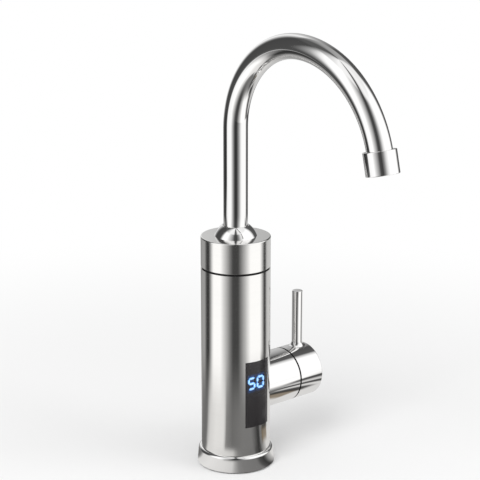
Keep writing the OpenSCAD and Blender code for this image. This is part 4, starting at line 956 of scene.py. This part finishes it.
# painted dark reflection rings on the tent's floor as (radius, width), and a brown one, between four
# directions
darkReflectionRings = {"lines": [(0.26, 0.07), (0.165, 0.018), (0.122, 0.02)], "fade": 0.92,
             "turns": (84, 90, 108, 116)}
brownReflectionPatch = {"lines": [(0.1, 0.03)], "fade": 0.85, "turns": (82, 87, 106, 112)}
crownDarkReflection = {"lines": [(1.2, 0.42)], "fade": 0.92, "turns": (-130, -120, -92, -84)}
darkReflectionColor, brownReflectionColor = (0.03, 0.03, 0.03, 1.0), (0.2, 0.15, 0.09, 1.0)


def bandRamp(tree, share, bands, tint):
    ramp = addNode(tree, "ShaderNodeValToRGB", {"Fac": share})
    marks = ramp.color_ramp.elements
    marks.remove(marks[-1])
    for index, (angle, level) in enumerate(bands):
        mark = marks[0] if index == 0 else marks.new((angle + 180) / 360)
        mark.position = (angle + 180) / 360
        mark.color = (*(level * part for part in tint), 1.0)
    return ramp.outputs["Color"]


def reflectedRingMask(tree, radius, compass, lines, fade, turns):
    # painted reflection rings round the tap, cut off outside a range of directions
    start, rise, fall, end = (math.radians(turn) for turn in turns)
    rings = 0.0
    for middle, width in lines:
        off = mathNode(tree, "ABSOLUTE", mathNode(tree, "SUBTRACT", radius, middle))
        rings = mathNode(tree, "MAXIMUM", rings, remapNode(tree, off, width / 3, width, fade, 0.0))
    opening = remapNode(tree, compass, start, rise)
    closing = remapNode(tree, compass, fall, end, 1.0, 0.0)
    return mathNode(tree, "MULTIPLY", rings, mathNode(tree, "MULTIPLY", opening, closing))


def paintedReflectionMaterial():
    material = bpy.data.materials.new("paintedReflectionBands")
    tree = emptyTree(material)
    x, y, z = addNode(tree, "ShaderNodeSeparateXYZ", {0: objectPlace(tree)}).outputs
    turn = mathNode(tree, "ARCTAN2", x, mathNode(tree, "MULTIPLY", y, -1.0))
    turn = mathNode(tree, "SUBTRACT", turn, math.radians(cameraSet["azimuth"]))
    compass = mathNode(tree, "WRAP", turn, math.pi, -math.pi)
    share = remapNode(tree, compass, -math.pi, math.pi, kind="LINEAR")
    radius = vectorNode(tree, "LENGTH", firstOut(tree, "ShaderNodeCombineXYZ", {"X": x, "Y": y}))
    paintedMirror = bandRamp(tree, share, footBands, warmTint)
    for bands, tint, key in ((nearBands, warmTint, "footRadii"), (farBands, paleTint, "nearRadii"),
                             (pipeBands, plainTint, "pipeRadii")):
        away = remapNode(tree, radius, *tentSet[key])
        paintedMirror = mixColors(tree, away, paintedMirror, bandRamp(tree, share, bands, tint))
    # painted dark and brown reflections laid over the bands
    for masked, color in ((brownReflectionPatch, brownReflectionColor), (darkReflectionRings, darkReflectionColor), (crownDarkReflection, darkReflectionColor)):
        paintedMirror = mixColors(tree, reflectedRingMask(tree, radius, compass, **masked), paintedMirror, color)
    for bands, key in ((highBands, "high"), (roofBands, "roof")):
        up = remapNode(tree, z, *tentSet[key])
        paintedMirror = mixColors(tree, up, paintedMirror, bandRamp(tree, share, bands, plainTint))
    # the painted reflection bands glow as emission, and only reflections see them
    glow = addNode(tree, "ShaderNodeEmission", {"Color": paintedMirror})
    addNode(tree, "ShaderNodeOutputMaterial", {"Surface": glow.outputs[0]})
    material.cycles.emission_sampling = "NONE"
    return material


def makeTent():
    # a round tent that only reflections see, glowing with painted reflections: pale bands with darker gaps,
    # on the floor and up its wall
    inner, outer, bend, low, steps = (tentSet[key] for key in ("inner", "outer", "bend", "low", "steps"))
    rows = [(inner + (outer - bend - inner) * k / steps, low) for k in range(steps + 1)]
    for k in range(1, steps + 1):
        angle = math.pi / 2 * k / steps
        rows.append((outer - bend + bend * math.sin(angle), low + bend * (1 - math.cos(angle))))
    mesh = turnMesh("paintedReflectionTent", rows + tentSet["roofRows"], tentSet["sides"], ends="open", unit=1.0)
    mesh.materials.append(paintedReflectionMaterial())
    tent = addObject("paintedReflectionTent", mesh)
    tent.visible_camera = tent.visible_diffuse = tent.visible_shadow = False
    tent.visible_transmission = tent.visible_volume_scatter = False


def makeWorld():
    scene.world = bpy.data.worlds.new("studio")
    tree = emptyTree(scene.world)
    plain = addNode(tree, "ShaderNodeBackground", {"Color": stageSet["worldColor"]})
    white = addNode(tree, "ShaderNodeBackground", {"Color": stageSet["white"]})
    endShader(tree, "ShaderNodeOutputWorld", seenRays(tree), plain, white)


def makeLights():
    for name, one in lampSets.items():
        data = bpy.data.lights.new(name, "AREA")
        data.size = one["size"]
        data.energy = one["power"]
        lamp = addObject(name, data)
        lamp.location = one["place"]
        lamp.rotation_euler = (lampTarget - Vector(one["place"])).to_track_quat("-Z", "Y").to_euler()
        lamp.visible_glossy = False


def makeCamera():
    data = bpy.data.cameras.new("camera")
    data.lens = cameraSet["lens"]
    data.sensor_width = cameraSet["sensor"]
    data.clip_start, data.clip_end = cameraSet["clip"]
    camera = addObject("camera", data)
    camera.location = cameraSet["place"]
    heading = math.radians(cameraSet["azimuth"] + cameraSet["yaw"])
    camera.rotation_euler = (math.radians(90 - cameraSet["pitch"]), 0.0, heading)
    scene.camera = camera


makeFloor()
makeTent()
makeWorld()
makeLights()
makeCamera()
scene.view_settings.view_transform = "Standard"
print("stage, light and camera made")
